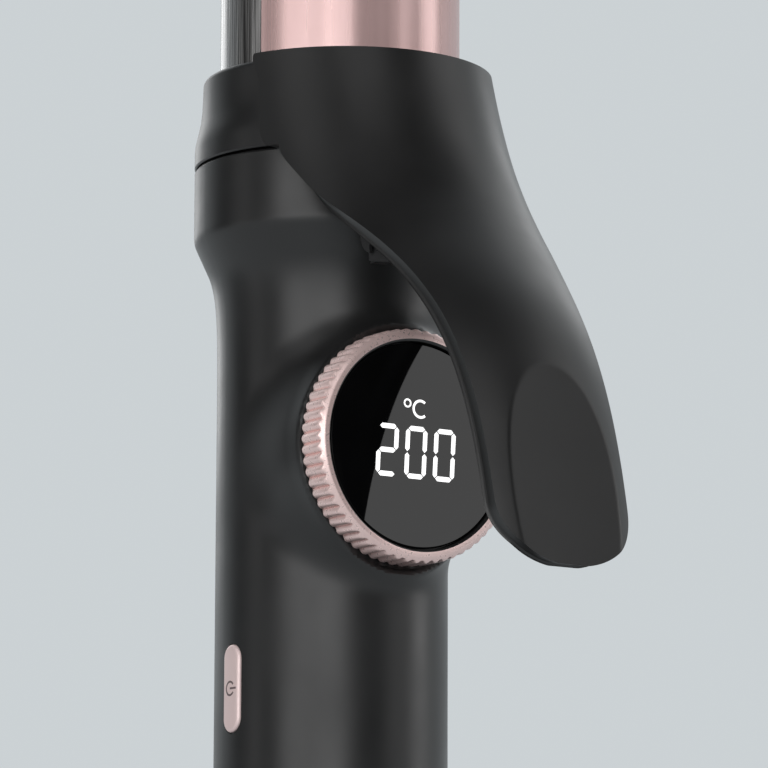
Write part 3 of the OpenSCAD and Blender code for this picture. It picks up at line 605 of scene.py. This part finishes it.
for radius, out, share in ring_outline:
    row_radius = radius - rib_depth * share * knurl(ring_turn)
    ring_rows.append(np.stack([row_radius * np.cos(ring_turn), row_radius * np.sin(ring_turn),
                               out + 0 * ring_turn], -1))
ring_rows.append(ring_rows[0])
ring_points, ring_faces = skin(ring_rows, capped=False)
ring_size = len(ring_outline) * len(ring_turn)
dial_ring = mesh_object("dial_ring_turned", ring_points[:ring_size],
                        [[corner % ring_size for corner in face] for face in ring_faces])
# The ring's scale is a little lighter: painted light.
rose_ring = rose_metal("rose_gold_ring", 0.42, (1.04, 1.03, 1.03), 0.3, 0.12 * mm, 0.0005 * mm)
settle(facing_front(dial_ring), "dial", rose_ring, "rose_metal", "dial_ring", crease=28)

lining_outline = [
    (ring_bore, boss_face + 1.8 * mm), (ring_bore + lining - 0.01 * mm, boss_face + 1.8 * mm),
    (ring_bore + lining - 0.01 * mm, ring_front - 0.02 * mm), (ring_bore + 0.25 * mm, ring_front - 0.04 * mm),
    (ring_bore + 0.03 * mm, ring_front - 0.3 * mm), (ring_bore, ring_front - 0.36 * mm),
]
ring_lining = facing_front(lathe("dial_ring_lining", lining_outline, 192))
settle(ring_lining, "dial", black_nylon, "charcoal_plastic", crease=25)

glass_black = new_finish("tinted_glass", {})
shade_colour(glass_black, grains(glass_black, 8 * mm, 3), (0.0015, 0.0015, 0.0017), (0.0025, 0.0025, 0.0028))
shade_roughness(glass_black, grains(glass_black, 5 * mm, 5), 0.015, 0.035)
relief(glass_black, (grains(glass_black, 30 * mm, 1), 0.002 * mm))
glass_edge = 0.2 * mm
glass_rim = glass_r + 0.28 * mm
glass_outline = [
    (glass_rim - 0.05 * mm, glass_back), (glass_rim, glass_back + 0.05 * mm),
    (glass_rim, glass_front - glass_edge), (glass_rim - glass_edge, glass_front),
]
glass = facing_front(lathe("dial_glass_disc", glass_outline, 192, solid=True))
settle(glass, "handle", glass_black, "display_glass", "dial_glass", crease=25)
softened("dial_hub_moulding", "dial_hub", "handle", black_nylon, "charcoal_plastic", 0.12 * mm)
felt = coloured("felt_washer", (0.012, 0.012, 0.012), 0.9, 0.08 * mm, 0.03 * mm)
repaint(felt, "dial_seal")
repaint(steel, "dial_screws")

lit = new_finish("lit_segments", {
    "Base Color": (0.8, 0.8, 0.8, 1), "Emission Color": (1, 1, 1, 1), "Emission Strength": 1,
})
shade_roughness(lit, grains(lit, 1 * mm, 2), 0.3, 0.4)
digit_height = 6.5 * mm
digit_width = 2.8 * mm
digit_pitch = 4.62 * mm
digit_lean = 0.05
segment_width = 0.68 * mm
segment_gap = 0.1 * mm
digits_x = -0.45 * mm
digits_z = -1.0 * mm
lit_segments = {"2": "abged", "0": "abcdef"}


def segment(letter, left, foot):
    """One bar of a seven-segment digit, as two matching edges with pointed ends."""
    high, middle, right = digit_height, digit_height / 2, digit_width
    ends = {
        "a": ((0, high), (right, high)),
        "b": ((right, high), (right, middle)),
        "c": ((right, middle), (right, 0)),
        "d": ((0, 0), (right, 0)),
        "e": ((0, middle), (0, 0)),
        "f": ((0, high), (0, middle)),
        "g": ((0, middle), (right, middle)),
    }
    start, end = (np.array(point) for point in ends[letter])
    along = (end - start) / np.linalg.norm(end - start)
    side = np.array((-along[1], along[0])) * segment_width / 2
    start = start + along * segment_gap
    end = end - along * segment_gap
    tip = along * segment_width / 2
    edge = [start, start + tip, end - tip, end]
    widths = [0.04, 1, 1, 0.04]
    edges = []
    for way in (1, -1):
        flat = np.array([point + way * width * side for point, width in zip(edge, widths)])
        flat[:, 0] += digit_lean * flat[:, 1]
        edges.append(flat + (left, foot))
    return tuple(edges)


def on_glass(across, along, lift):
    """A place on the dial's glass, a hair above it when lift is 1."""
    return (across, -(glass_front + (0.02 * lift - 0.01) * mm), dial_z + along)


shown = "200"
shown_width = (len(shown) - 1) * digit_pitch + digit_width
digit_strokes = []
for place, figure in enumerate(shown):
    left = digits_x - shown_width / 2 + place * digit_pitch
    digit_strokes += [segment(letter, left, digits_z - digit_height / 2) for letter in lit_segments[figure]]
printed("temperature_digits", digit_strokes, on_glass, "handle", lit, "display_glass")


def shifted(edges, across, along):
    """A stroke moved to its place on the glass."""
    return tuple(edge + (across, along) for edge in edges)


unit_z = digits_z + digit_height / 2 + 2.75 * mm
printed(
    "temperature_unit",
    [
        shifted(stroke(0.38 * mm, 0.62 * mm, 0, 359), digits_x - 1.2 * mm, unit_z + 0.65 * mm),
        shifted(stroke(0.95 * mm, 1.3 * mm, 50, 310), digits_x + 0.9 * mm, unit_z),
    ],
    on_glass, "handle", lit, "display_glass",
)

# ---- Collar ring ----
# A charcoal ring around the foot of the barrel, fixed to the handle behind the lever's cover.
# It stands a hairline above the handle, leans in to its rim, and is open at the front for the clip.
ring_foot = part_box("collar_ring")[0].z
seam_z = shell_top + 0.35 * mm
rim_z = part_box("collar_ring")[1].z
collar_bore = grip_r + 0.1 * mm
collar_spigot = shoulder_r - shell_wall - 0.1 * mm
rim_r = shoulder_r - 1.12 * mm
rim_round = 0.8 * mm
split_foot = 11.9 * mm
split_rim = 10.2 * mm
collar_outline = [
    (collar_bore, ring_foot), (collar_spigot, ring_foot), (collar_spigot, seam_z),
    (shoulder_r - 0.2 * mm, seam_z), (shoulder_r, seam_z + 0.2 * mm),
]
# It runs straight up from the seam, leans in, turns upright again at a soft crease, and ends in the rim
crease_z = np.array([2.4, 3.3, 4.2, 5.0, 5.9, 6.7, 7.6, 8.3, 10.3]) * mm + seam_z
crease_in = np.array([0, 0.08, 0.27, 0.47, 0.67, 0.83, 0.91, 1.0, 1.07]) * mm
collar_outline += [(shoulder_r - inset, z) for inset, z in zip(crease_in, crease_z)]
collar_outline += arc((rim_r - rim_round, rim_z - rim_round), rim_round, 0, 90, 12)
collar_outline += [(collar_bore + 0.15 * mm, rim_z), (collar_bore, rim_z - 0.15 * mm)]
collar = lathe("collar_ring_moulding", collar_outline, 240)


def side_block(name, outline, near, far):
    """A block with an outline of (distance from the axis towards -Y, height) between two X values."""
    return mesh_object(name, *skin([[(x, -out, z) for out, z in outline] for x in (near, far)]))


wedge_outline = [
    (split_foot, seam_z - 0.01 * mm), (split_rim, rim_z + 1 * mm),
    (2 * shoulder_r, rim_z + 1 * mm), (2 * shoulder_r, seam_z - 0.01 * mm),
]
combine(collar, side_block("wedge", wedge_outline, -2 * shoulder_r, 2 * shoulder_r))
settle(collar, "handle", soft_touch, "charcoal_plastic", "collar_ring", crease=35)

# ---- Barrel ----
# A drawn aluminium tube with a hard dark-grey ceramic coating that is brushed along its length.
# A nylon base holds it to the ledge in the handle, and a plug closes it under the cool tip.
tube_low, tube_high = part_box("barrel_tube")
tube_r = tube_high.x
tube_foot = tube_low.z
tube_top = tube_high.z
tube_bore = tube_r - 0.8 * mm
tube_outline = [
    (tube_bore, tube_foot), (tube_r - 0.1 * mm, tube_foot), (tube_r, tube_foot + 0.1 * mm),
    (tube_r, tube_top - 0.1 * mm), (tube_r - 0.1 * mm, tube_top), (tube_bore, tube_top),
]
barrel_coating = new_finish("ceramic_coating", {"Metallic": 0.6})
brushing = grains(barrel_coating, 0.22 * mm, 1.5, (1, 1, 0.01))
shade_colour(barrel_coating, brushing, (0.01, 0.01, 0.01), (0.42, 0.415, 0.41))
shade_roughness(barrel_coating, grains(barrel_coating, 0.3 * mm, 4, (1, 1, 0.02)), 0.16, 0.30)
relief(barrel_coating, (grains(barrel_coating, 0.35 * mm, 3, (1, 1, 0.015)), 0.006 * mm))
tube = lathe("barrel_tube_drawn", tube_outline, 256)
settle(tube, "handle", barrel_coating, "barrel_coating", "barrel_tube", crease=25)
ceramic = coloured("white_ceramic", (0.62, 0.61, 0.57), 0.5, 0.1 * mm, 0.003 * mm)
aluminium = bumpy_metal("aluminium", (0.66, 0.66, 0.68), 0.34, 0.3 * mm, 0.003 * mm, (1, 1, 0.05))
repaint(natural_nylon, "barrel_base", "tip_plug")
repaint(steel, "base_screws", "thermal_fuse")
repaint(aluminium, "heat_spreaders")
repaint(ceramic, "heater_element", "thermistor")
softened("board_fuse_finished", "board_fuse", "handle", ceramic, "ceramic", 0.1 * mm)

# ---- Cool tip ----
# A hollow charcoal cap that stays cool enough to hold, screwed to the plug in the end of the barrel.
# A small disc covers the screw.
tip_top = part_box("tip_cap")[1].z
tip_round = 6 * mm
tip_wall = 2 * mm
hollow_foot = tube_top + tip_wall
hollow_top = tip_top - 7 * mm
post_r = 4.4 * mm
pocket_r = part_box("tip_disc")[1].x + 0.1 * mm
pocket_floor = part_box("tip_disc")[0].z
tip_outline = [(grip_r - 0.45 * mm, tube_top), (grip_r - 0.1 * mm, tube_top + 0.1 * mm),
               (grip_r, tube_top + 0.4 * mm)]
tip_outline += arc((grip_r - tip_round, tip_top - tip_round), tip_round, 0, 90, 24)
tip_outline += [(pocket_r + 0.2 * mm, tip_top), (pocket_r, tip_top - 0.2 * mm), (pocket_r, pocket_floor)]
tip = lathe("tip_cap_moulding", tip_outline, 192, solid=True)
hollow = rod("hollow", grip_r - tip_wall, hollow_foot, hollow_top)
combine(hollow, rod("post", post_r, tube_top, tip_top))
combine(tip, hollow)
combine(tip, cad_copy("bore", "tip_screw"))
settle(tip, "handle", soft_touch, "charcoal_plastic", "tip_cap")
softened("tip_disc_moulding", "tip_disc", "handle", soft_touch, "charcoal_plastic", 0.15 * mm)
repaint(steel, "tip_screw")

# ---- Clip plate ----
# A curved plate of rose-gold steel that lies a hair off the barrel and presses the hair to it.
# It is stamped and rolled with a rounded nose, and a tab under the lever's cover takes two screws.
clip_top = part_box("clip_plate")[1].z
clip_outer = -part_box("clip_plate")[0].y
clip_thick = 1.2 * mm
clip_edge = 0.35 * mm
clip_half_turn = math.radians(68.8)
clip_shoulder = rim_z + 0.12 * mm
foot_round = 1.5 * mm
nose_length = 14 * mm
tab_near = clip_outer * math.cos(clip_half_turn)
tab_far = clip_outer + 1 * mm
tab_top = clip_shoulder + 0.3 * mm


def outline_normals(outline):
    """Inward unit normals of a closed outline that runs clockwise."""
    along = np.roll(outline, -1, 0) - np.roll(outline, 1, 0)
    along /= np.linalg.norm(along, axis=1)[:, None]
    return np.stack([along[:, 1], -along[:, 0]], -1)


def rounded_plate(half_widths, levels, columns, edges, thickness, place):
    """A bent plate with rounded edges.

    half_widths and levels give its outline on a flat pattern from the top row to the bottom row, and edges
    the rounding at each row. place(across, level, depth) bends the pattern, where a depth of 0 is the outer
    face and 1 the inner face.
    """
    rows = len(levels)
    share = np.linspace(-1, 1, columns)
    # The row and column of each point of the outline, clockwise from the top left corner
    row = np.r_[[0] * columns, 1:rows, [rows - 1] * (columns - 1), rows - 2:0:-1]
    column = np.r_[0:columns, [columns - 1] * (rows - 1), columns - 2:-1:-1, [0] * (rows - 2)]
    outline = np.stack([half_widths[row] * share[column], levels[row]], -1)
    inward = outline_normals(outline)
    edge = edges[row]
    # The flat part of both faces, whose rows run straight between the sides of the inset outline
    field = np.zeros((rows, columns, 2))
    field[row, column] = outline + inward * edge[:, None]
    field[1:-1] = field[1:-1, :1] + (field[1:-1, -1:] - field[1:-1, :1]) * (share[:, None] + 1) / 2
    across, level = field.reshape(-1, 2).T
    size = rows * columns
    points = [place(across, level, np.full(size, depth)) for depth in (0.0, 1.0)]
    corner = np.arange(size).reshape(rows, columns)
    quads = np.stack([corner[:-1, :-1], corner[:-1, 1:], corner[1:, 1:], corner[1:, :-1]], -1)
    faces = [quads.reshape(-1, 4), quads.reshape(-1, 4) + size]
    # The rounded rim, ring by ring from the outer face to the inner face
    angles = np.linspace(0, math.pi / 2, 6)[1:]
    steps = [(edge * (1 - math.sin(a)), edge * (1 - math.cos(a)) / thickness) for a in angles]
    steps += [(inset, 1 - depth) for inset, depth in steps[::-1]]
    rings = [row * columns + column]
    for inset, depth in steps:
        flat = outline + inward * inset[:, None]
        rings.append(np.arange(len(row)) + sum(len(part) for part in points))
        points.append(place(flat[:, 0], flat[:, 1], depth))
    rings.append(rings[0] + size)
    for ring, following in zip(rings, rings[1:]):
        faces.append(np.stack([ring, np.roll(ring, -1), np.roll(following, -1), following], -1))
    return np.concatenate(points), np.concatenate(faces).tolist()


def rolled(across, level, depth):
    """Rolls a flat pattern onto the clip's cylinder."""
    turn = across / clip_outer
    radius = clip_outer - clip_thick * depth
    return np.stack([radius * np.sin(turn), -radius * np.cos(turn), level], -1)


nose_share = np.sin(np.linspace(0, math.pi / 2, 30))[1:]
nose_levels = clip_top - nose_length + nose_length * nose_share[::-1]
nose_levels[0] = clip_top - 0.002 * mm
nose_half = (clip_outer * math.sin(clip_half_turn) + 0.2 * mm) * np.sqrt(
    np.clip(1 - ((nose_levels - clip_top + nose_length) / nose_length) ** 2, 1e-4, 1))
plate_levels = np.linspace(clip_top - nose_length, clip_shoulder + foot_round + 0.1 * mm, 60)
foot_share = np.sin(np.linspace(0, math.pi / 2, 8))[1:]
foot_levels = clip_shoulder + foot_round * (1 - foot_share)
clip_levels = np.concatenate([nose_levels, plate_levels, foot_levels])
full_half = clip_outer * clip_half_turn
clip_half = np.concatenate([
    clip_outer * np.arcsin(np.clip(nose_half / clip_outer, 0, math.sin(clip_half_turn))),
    np.full(len(plate_levels), full_half),
    full_half - foot_round * (1 - np.sqrt(1 - foot_share ** 2)),
])
clip_edges = np.full(len(clip_levels), clip_edge)
clip_shape = rounded_plate(clip_half, clip_levels, 41, clip_edges, clip_thick, rolled)
clip = mesh_object("clip_plate_rolled", *clip_shape)
tab = cad_copy("tab", "clip_plate")
tab_outline = [(tab_far, 0), (tab_far, tab_top), (tab_near, tab_top), (tab_near, 0)]
combine(tab, side_block("tab_box", tab_outline, -grip_r, grip_r), "INTERSECT")
combine(clip, tab, "UNION")
# The clip's scale is pinker in tint and much darker: painted shade that tones down the lamps' reflections on
# it.
rose_clip = rose_metal("rose_gold_clip", 0.42, (0.74, 0.66, 0.67), 0.28, 0.5 * mm, 0.0004 * mm, (1, 1, 0.02))
settle(clip, "clip_lever", rose_clip, "rose_metal", "clip_plate", crease=30)
softened("clip_screws_finished", "clip_screws", "clip_lever", steel, "steel", 0.12 * mm)

# ---- Clip lever ----
# A charcoal moulding that covers the clip's foot and sweeps down and out over the dial as a thumb lever.
# Its face is crowned, with a nearly flat pad for the thumb, and a frame inside joins it to the hinge.
lever_reach = 58.6 * mm
lever_drop = 61.5 * mm
lever_half = 9.95 * mm
lever_thick = 2.7 * mm
lever_wall = 2.6 * mm
lever_edge = 0.45 * mm
rim_edge = 1.7 * mm
step_edge = 0.15 * mm
step_h = -0.95 * mm
step_length = 0.3 * mm
waist = 0.3 * mm
waist_h = -5.7 * mm
waist_length = 2.9 * mm
cover_squeeze = 0.017
cover_drop = 15 * mm
crown_r = 20.5 * mm
cover_h = rim_z - seam_z
path_points = np.array([
    (3.1 * mm, cover_h), (0.24 * lever_reach, -0.4 * lever_drop),
    (0.54 * lever_reach, -0.26 * lever_drop), (lever_reach - crown_r, -lever_drop),
])
edge_at_seam = 12.4 * mm
edge_at_rim = 10.75 * mm
cover_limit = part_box("lever")[1].x
cover_half = 19.2 * mm
narrow_h = 15.2 * mm
lever_foot = seam_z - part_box("lever")[0].z
tip_corner = 8 * mm
pad_top = 34.8 * mm
pad_slope = 0.216
pad_root = lever_reach - 7.25 * mm
pad_dish = 2.0
pad_crease = 0.1 * mm
square_start = 5 * mm
square_length = 11 * mm
sink_length = 4 * mm

path_share = np.linspace(0, 1, 400)[:, None]
path_rest = 1 - path_share
path = (path_rest ** 3 * path_points[0] + 3 * path_share * path_rest ** 2 * path_points[1]
        + 3 * path_share ** 2 * path_rest * path_points[2] + path_share ** 3 * path_points[3])
path_way = np.concatenate([[0], np.cumsum(np.linalg.norm(np.diff(path, axis=0), axis=1))])
path_lean = np.abs(np.gradient(path[:, 0]) / np.gradient(path[:, 1]))


def path_at(way):
    """The crown's centre from the axis, the height over the seam and the lean, at a way down the lever."""
    return tuple(np.interp(way, path_way, values) for values in (path[:, 0], path[:, 1], path_lean))


def lever_half_width(way):
    """Half the width of the lever, measured straight across, at a way down it."""
    centre, height, _ = path_at(way)
    edge_n = edge_at_seam + (edge_at_rim - edge_at_seam) * height / cover_h
    cover = np.sqrt(np.maximum(crown_r ** 2 - (edge_n - centre) ** 2, 0))
    below = lever_half + (cover_half - lever_half) / (1 + np.maximum(-height / narrow_h, 0) ** 3)
    below -= waist * np.exp(-((height - waist_h) / waist_length) ** 2)
    wide = cover + (below - cover) * half_wave((step_h - height) / step_length + 0.5)
    wide = np.minimum(wide, cover_limit)
    tip = np.clip((-height - (lever_foot - tip_corner)) / tip_corner, 0, 1)
    return wide * np.maximum(1 - tip ** 2.1, 1e-4) ** (1 / 2.1)


def lever_half_pattern(way):
    """Half the width of the lever's flat pattern, which is rolled to the crown's radius."""
    return crown_r * np.arcsin(np.clip(lever_half_width(way) / crown_r, 0, 0.999))


def on_lever(across, way, depth):
    """Bends the lever's flat pattern onto its crowned, swept face."""
    centre, height, lean = path_at(way)
    turn = across / crown_r
    squeeze = 1 - cover_squeeze * half_wave((height + cover_drop) / cover_drop)
    x = crown_r * np.sin(turn) * squeeze
    pad = pad_root + pad_slope * (-height - pad_top) + pad_dish * x ** 2
    out = soft_min(centre + crown_r * np.cos(turn), pad, pad_crease)
    # Under the cover the wall points at the axis; further down it stands square to the handle
    full = lever_thick * np.sqrt(1 + lean ** 2)
    square = half_wave((-height - square_start) / square_length)
    from_edge = lever_half_pattern(way) - np.abs(across)
    sunk = lever_wall + (full - lever_wall) * half_wave(from_edge / sink_length)
    radial_x = (crown_r - lever_thick) * np.sin(turn) * squeeze
    radial_out = centre + (crown_r - lever_thick) * np.cos(turn) - (full - lever_thick)
    inner_x = radial_x + (x - radial_x) * square
    inner_out = radial_out + (out - sunk - radial_out) * square
    inner_out = np.minimum(inner_out, pad - lever_wall)
    outer = np.stack([x, -out, seam_z + height], -1)
    inner = np.stack([inner_x, -inner_out, seam_z + height], -1)
    return outer + (inner - outer) * depth[:, None]


# Rows of points down the lever, closer together at its corners, at the step under the cover and on the pad
top_corner = 1.4 * mm
quarter = np.linspace(0, math.pi / 2, 10)
top_ways = top_corner * (1 - np.cos(quarter))
pad_start = np.interp(pad_top - 2 * mm, -path[:, 1], path_way)
tip_start = np.interp(lever_foot - tip_corner, -path[:, 1], path_way)
foot_way = np.interp(lever_foot - 0.02 * mm, -path[:, 1], path_way)
step_way = np.interp(-step_h, -path[:, 1], path_way)
upper_ways = np.concatenate([
    np.arange(top_corner + 0.35 * mm, step_way - 0.5 * mm, 0.4 * mm),
    np.arange(step_way - 0.45 * mm, step_way + 0.5 * mm, 0.05 * mm),
    np.arange(step_way + 0.7 * mm, pad_start, 0.4 * mm),
])
pad_ways = np.arange(pad_start, tip_start, 0.24 * mm)
tip_ways = tip_start + (foot_way - tip_start) * np.sin(np.linspace(0, math.pi / 2, 40))
lever_ways = np.concatenate([top_ways, upper_ways, pad_ways, tip_ways])
lever_halves = lever_half_pattern(lever_ways)
lever_halves[:len(quarter)] -= top_corner * (1 - np.sin(quarter))
lever_edges = lever_edge + (rim_edge - lever_edge) * (1 - half_wave((lever_ways - 1 * mm) / (4 * mm)))
near_step = np.exp(-((lever_ways - step_way) / (0.8 * mm)) ** 2)
lever_edges += (step_edge - lever_edges) * near_step
lever_shape = rounded_plate(lever_halves, lever_ways, 85, lever_edges, lever_wall, on_lever)
lever = mesh_object("lever_moulding", *lever_shape)
# A ledge inside the cover, which closes the gap between its wall and the clip's foot
roof_foot = rim_z - 2 * mm
roof_top = rim_z - 0.4 * mm
roof_end = 10.9 * mm
roof_half_turn = math.acos(roof_end / clip_outer)
crown_n = path_points[0][0]
wall_middle = crown_r - lever_thick / 2
roof_rings = []
for turn in np.linspace(-roof_half_turn, roof_half_turn, 60):
    outward = np.array((math.sin(turn), -math.cos(turn)))
    near = (clip_outer + 0.1 * mm) * outward
    reach = crown_n * math.cos(turn) + math.sqrt(wall_middle ** 2 - (crown_n * math.sin(turn)) ** 2)
    far = reach * outward
    roof_rings.append([(*near, roof_foot), (*far, roof_foot), (*far, roof_top), (*near, roof_top)])
combine(lever, mesh_object("roof", *skin(roof_rings)), "UNION")
settle(lever, "clip_lever", soft_touch, "charcoal_plastic", "lever", crease=35)

# ---- Hinge ----
# The lever's frame turns on a blackened pin through a glass-filled nylon block on the shoulder.
# Two retaining clips hold the pin, and a coiled spring of music wire around it keeps the clip shut.
spring_steel = bumpy_metal("music_wire", (0.42, 0.42, 0.43), 0.3, 0.2 * mm, 0.002 * mm)
# A lighter charcoal than the lever's: painted light for the hinge lug, which sits in the lever's shadow. The
# pin and its clips carry it too.
hinge_lit_charcoal = moulded("hinge_charcoal_painted_light", (0.034, 0.034, 0.035), (0.042, 0.042, 0.043),
                     0.42, 0.2 * mm, 0.004 * mm)
ear_inner = 5.2 * mm
ear_outer = 7.5 * mm
pin_bore = 1.56 * mm
pin_n = -middle_of("hinge_pin", "y")
pin_z = middle_of("hinge_pin", "z")


def about_pin(*places):
    """An outline given in mm outwards and upwards from the hinge pin."""
    return [(pin_n + out * mm, pin_z + up * mm) for out, up in places]


# The ears taper to a lug under the pin, square at the bottom
lug_outline = about_pin((-3, 1.6), (-2.3, -1.5), (-2.1, -3.7), (3.9, -4.8), (4.2, -1))
cut_back = about_pin((-8, 4), (-8, -9), (9, -9), (9, -5.7), (3.9, -4.8), (-2.1, -3.7), (-2.3, -1.5),
                     (-3.4, 1.2), (-3.6, 4))
lever_frame = cad_copy("lever_frame_moulding", "lever_frame")
combine(lever_frame, side_block("cut_back", cut_back, -12 * mm, 12 * mm))
pin_turn = Matrix.Rotation(math.pi / 2, 4, "Y")
for near, far in ((-ear_outer, -ear_inner), (ear_inner, ear_outer)):
    ear = side_block("ear", lug_outline, near, far)
    passage = rod("passage", pin_bore, -20 * mm, 20 * mm, 48)
    passage.data.transform(Matrix.Translation((0, -pin_n, pin_z)) @ pin_turn)
    combine(ear, passage)
    combine(lever_frame, ear, "UNION")
bevelled(lever_frame, 0.25 * mm, segments=3)
settle(lever_frame, "clip_lever", hinge_lit_charcoal, "charcoal_plastic", "lever_frame")
hinge_block = cad_copy("hinge_block_moulding", "hinge_block")
block_foot = pin_z - 3.4 * mm
keep_outline = [(10 * mm, block_foot), (40 * mm, block_foot + 1 * mm), (40 * mm, seam_z), (10 * mm, seam_z)]
combine(hinge_block, side_block("keep", keep_outline, -10 * mm, 10 * mm), "INTERSECT")
bevelled(hinge_block, 0.2 * mm, segments=3)
settle(hinge_block, "handle", hinge_lit_charcoal, "charcoal_plastic", "hinge_block")
hinge_screws = cad_copy("hinge_screws_set", "hinge_screws")
combine(hinge_screws, shell_core("reach", 0.4 * mm, shell_top - 25 * mm, shell_top - 10 * mm), "INTERSECT")
settle(hinge_screws, "handle", steel, "steel", "hinge_screws")
softened("hinge_pin_turned", "hinge_pin", "handle", hinge_lit_charcoal, "steel", 0.12 * mm)
softened("pin_clips_stamped", "pin_clips", "handle", hinge_lit_charcoal, "steel", 0.08 * mm)
softened("clip_spring_wound", "clip_spring", "handle", spring_steel, "steel", 0.03 * mm, crease=50)

# ---- Studio ----
# A plain pale room: a wide paper floor, a pale backdrop, and soft rectangular lamps around the object.
# A black drape hangs behind the camera and overhead, which only reflections show.
look_at = Vector((9.4, 1.3, 121.2)) * mm
camera_at = Vector((-372.6, -573.8, 2.1)) * mm
camera_data = bpy.data.cameras.new("camera")
camera_data.lens = 235
camera_data.sensor_width = 36
camera_data.clip_start = 0.01
camera = new_object("camera", camera_data)
camera_turn = (look_at - camera_at).to_track_quat("-Z", "Y").to_matrix().to_4x4()
camera_roll = Matrix.Rotation(math.radians(0.22), 4, "Z")
camera.matrix_world = Matrix.Translation(camera_at) @ camera_turn @ camera_roll
bpy.context.scene.camera = camera

backdrop_colour = (0.60, 0.64, 0.66)
room_light = (0.2, 0.2, 0.2)
world = bpy.data.worlds.new("room")
bpy.context.scene.world = world
world.use_nodes = True
background = world.node_tree.nodes["Background"]


def seen_ray(tree):
    """1 for what is seen directly, in a reflection or through glass, and 0 for light on a surface."""
    rays = add_node(tree, "LightPath", {})
    seen = rays.outputs["Is Camera Ray"]
    for kind in ("Is Glossy Ray", "Is Transmission Ray"):
        either = add_node(tree, "Math", {0: seen, 1: rays.outputs[kind]})
        either.operation = "MAXIMUM"
        seen = either.outputs["Value"]
    return seen


room_colour = mixed(world.node_tree, seen_ray(world.node_tree), room_light, backdrop_colour)
world.node_tree.links.new(room_colour, background.inputs["Color"])

floor_half = 9
floor_corners = [(x * floor_half, y * floor_half, 0) for x, y in ((-1, -1), (1, -1), (1, 1), (-1, 1))]
floor = mesh_object("floor", floor_corners, [[0, 1, 2, 3]])
floor_paper = new_finish("backdrop_paper", {
    "Specular IOR Level": 0.1, "Roughness": 0.9, "Emission Color": (*backdrop_colour, 1),
})
shade_colour(floor_paper, grains(floor_paper, 40 * mm, 3), (0.14, 0.145, 0.15), (0.15, 0.155, 0.16))
glow = add_node(floor_paper.node_tree, "Math", {0: seen_ray(floor_paper.node_tree), 1: 0.93})
glow.operation = "MULTIPLY"
feed(floor_paper, glow.outputs["Value"], "Emission Strength")
floor.data.materials.append(floor_paper)

lamp_centre = Vector((0, 0, 0.13))
lamp_distance = 0.9
towards_camera = Vector((camera_at.x, camera_at.y, 0)).normalized()
camera_right = Vector((-towards_camera.y, towards_camera.x, 0))


def level_way(turn):
    """A level direction from the object, turned by radians to the right of the camera."""
    return math.cos(turn) * towards_camera + math.sin(turn) * camera_right


def lamp(name, turn, rise, width, height, radiance):
    """A soft rectangular lamp that looks at the object: turn and rise are in degrees."""
    data = bpy.data.lights.new(name, "AREA")
    data.shape = "RECTANGLE"
    data.size = width
    data.size_y = height
    data.energy = radiance * math.pi * width * height
    made = new_object(name, data)
    up = math.radians(rise)
    way = level_way(math.radians(turn)) * math.cos(up) + Vector((0, 0, math.sin(up)))
    made.location = lamp_centre + lamp_distance * way
    made.rotation_euler = (-way).to_track_quat("-Z", "Y").to_euler()


lamp("key_left", -33, 7, 0.5, 0.4, 3.0)
lamp("key_right", 0, 7, 0.48, 0.4, 3.4)
lamp("front_high", 10, 40, 0.5, 0.4, 1.0)
lamp("left", -80, 7, 0.25, 0.5, 0.9)
lamp("left_high", -50, 36, 0.5, 0.4, 0.8)
lamp("glass_card", 66, 9, 0.26, 0.32, 1.4)
lamp("right", 97, 7, 0.32, 0.45, 2.7)
lamp("right_high", 90, 36, 0.5, 0.4, 1.3)
lamp("back_right", 150, 35, 0.4, 0.4, 1.2)
lamp("back_left", -152, 22, 0.3, 0.5, 1.9)

drape_turns = np.radians(np.linspace(-115, 115, 47))
drape_rings = [
    [(*(reach * level_way(turn)).xy, height) for turn in drape_turns]
    for reach, height in ((1.35, 0), (1.35, 1.7), (1.2, 2.0), (0.9, 2.2), (0.01, 2.3))
]
drape = mesh_object("black_drape", *skin(drape_rings, loop=False, capped=False))
black_cloth = coloured("black_cloth", (0.004, 0.004, 0.004), 0.95, 2 * mm, 0.1 * mm)
drape.data.materials.append(black_cloth)
drape.visible_camera = False
drape.visible_diffuse = False
drape.visible_shadow = False

bpy.context.scene.view_settings.view_transform = "Standard"
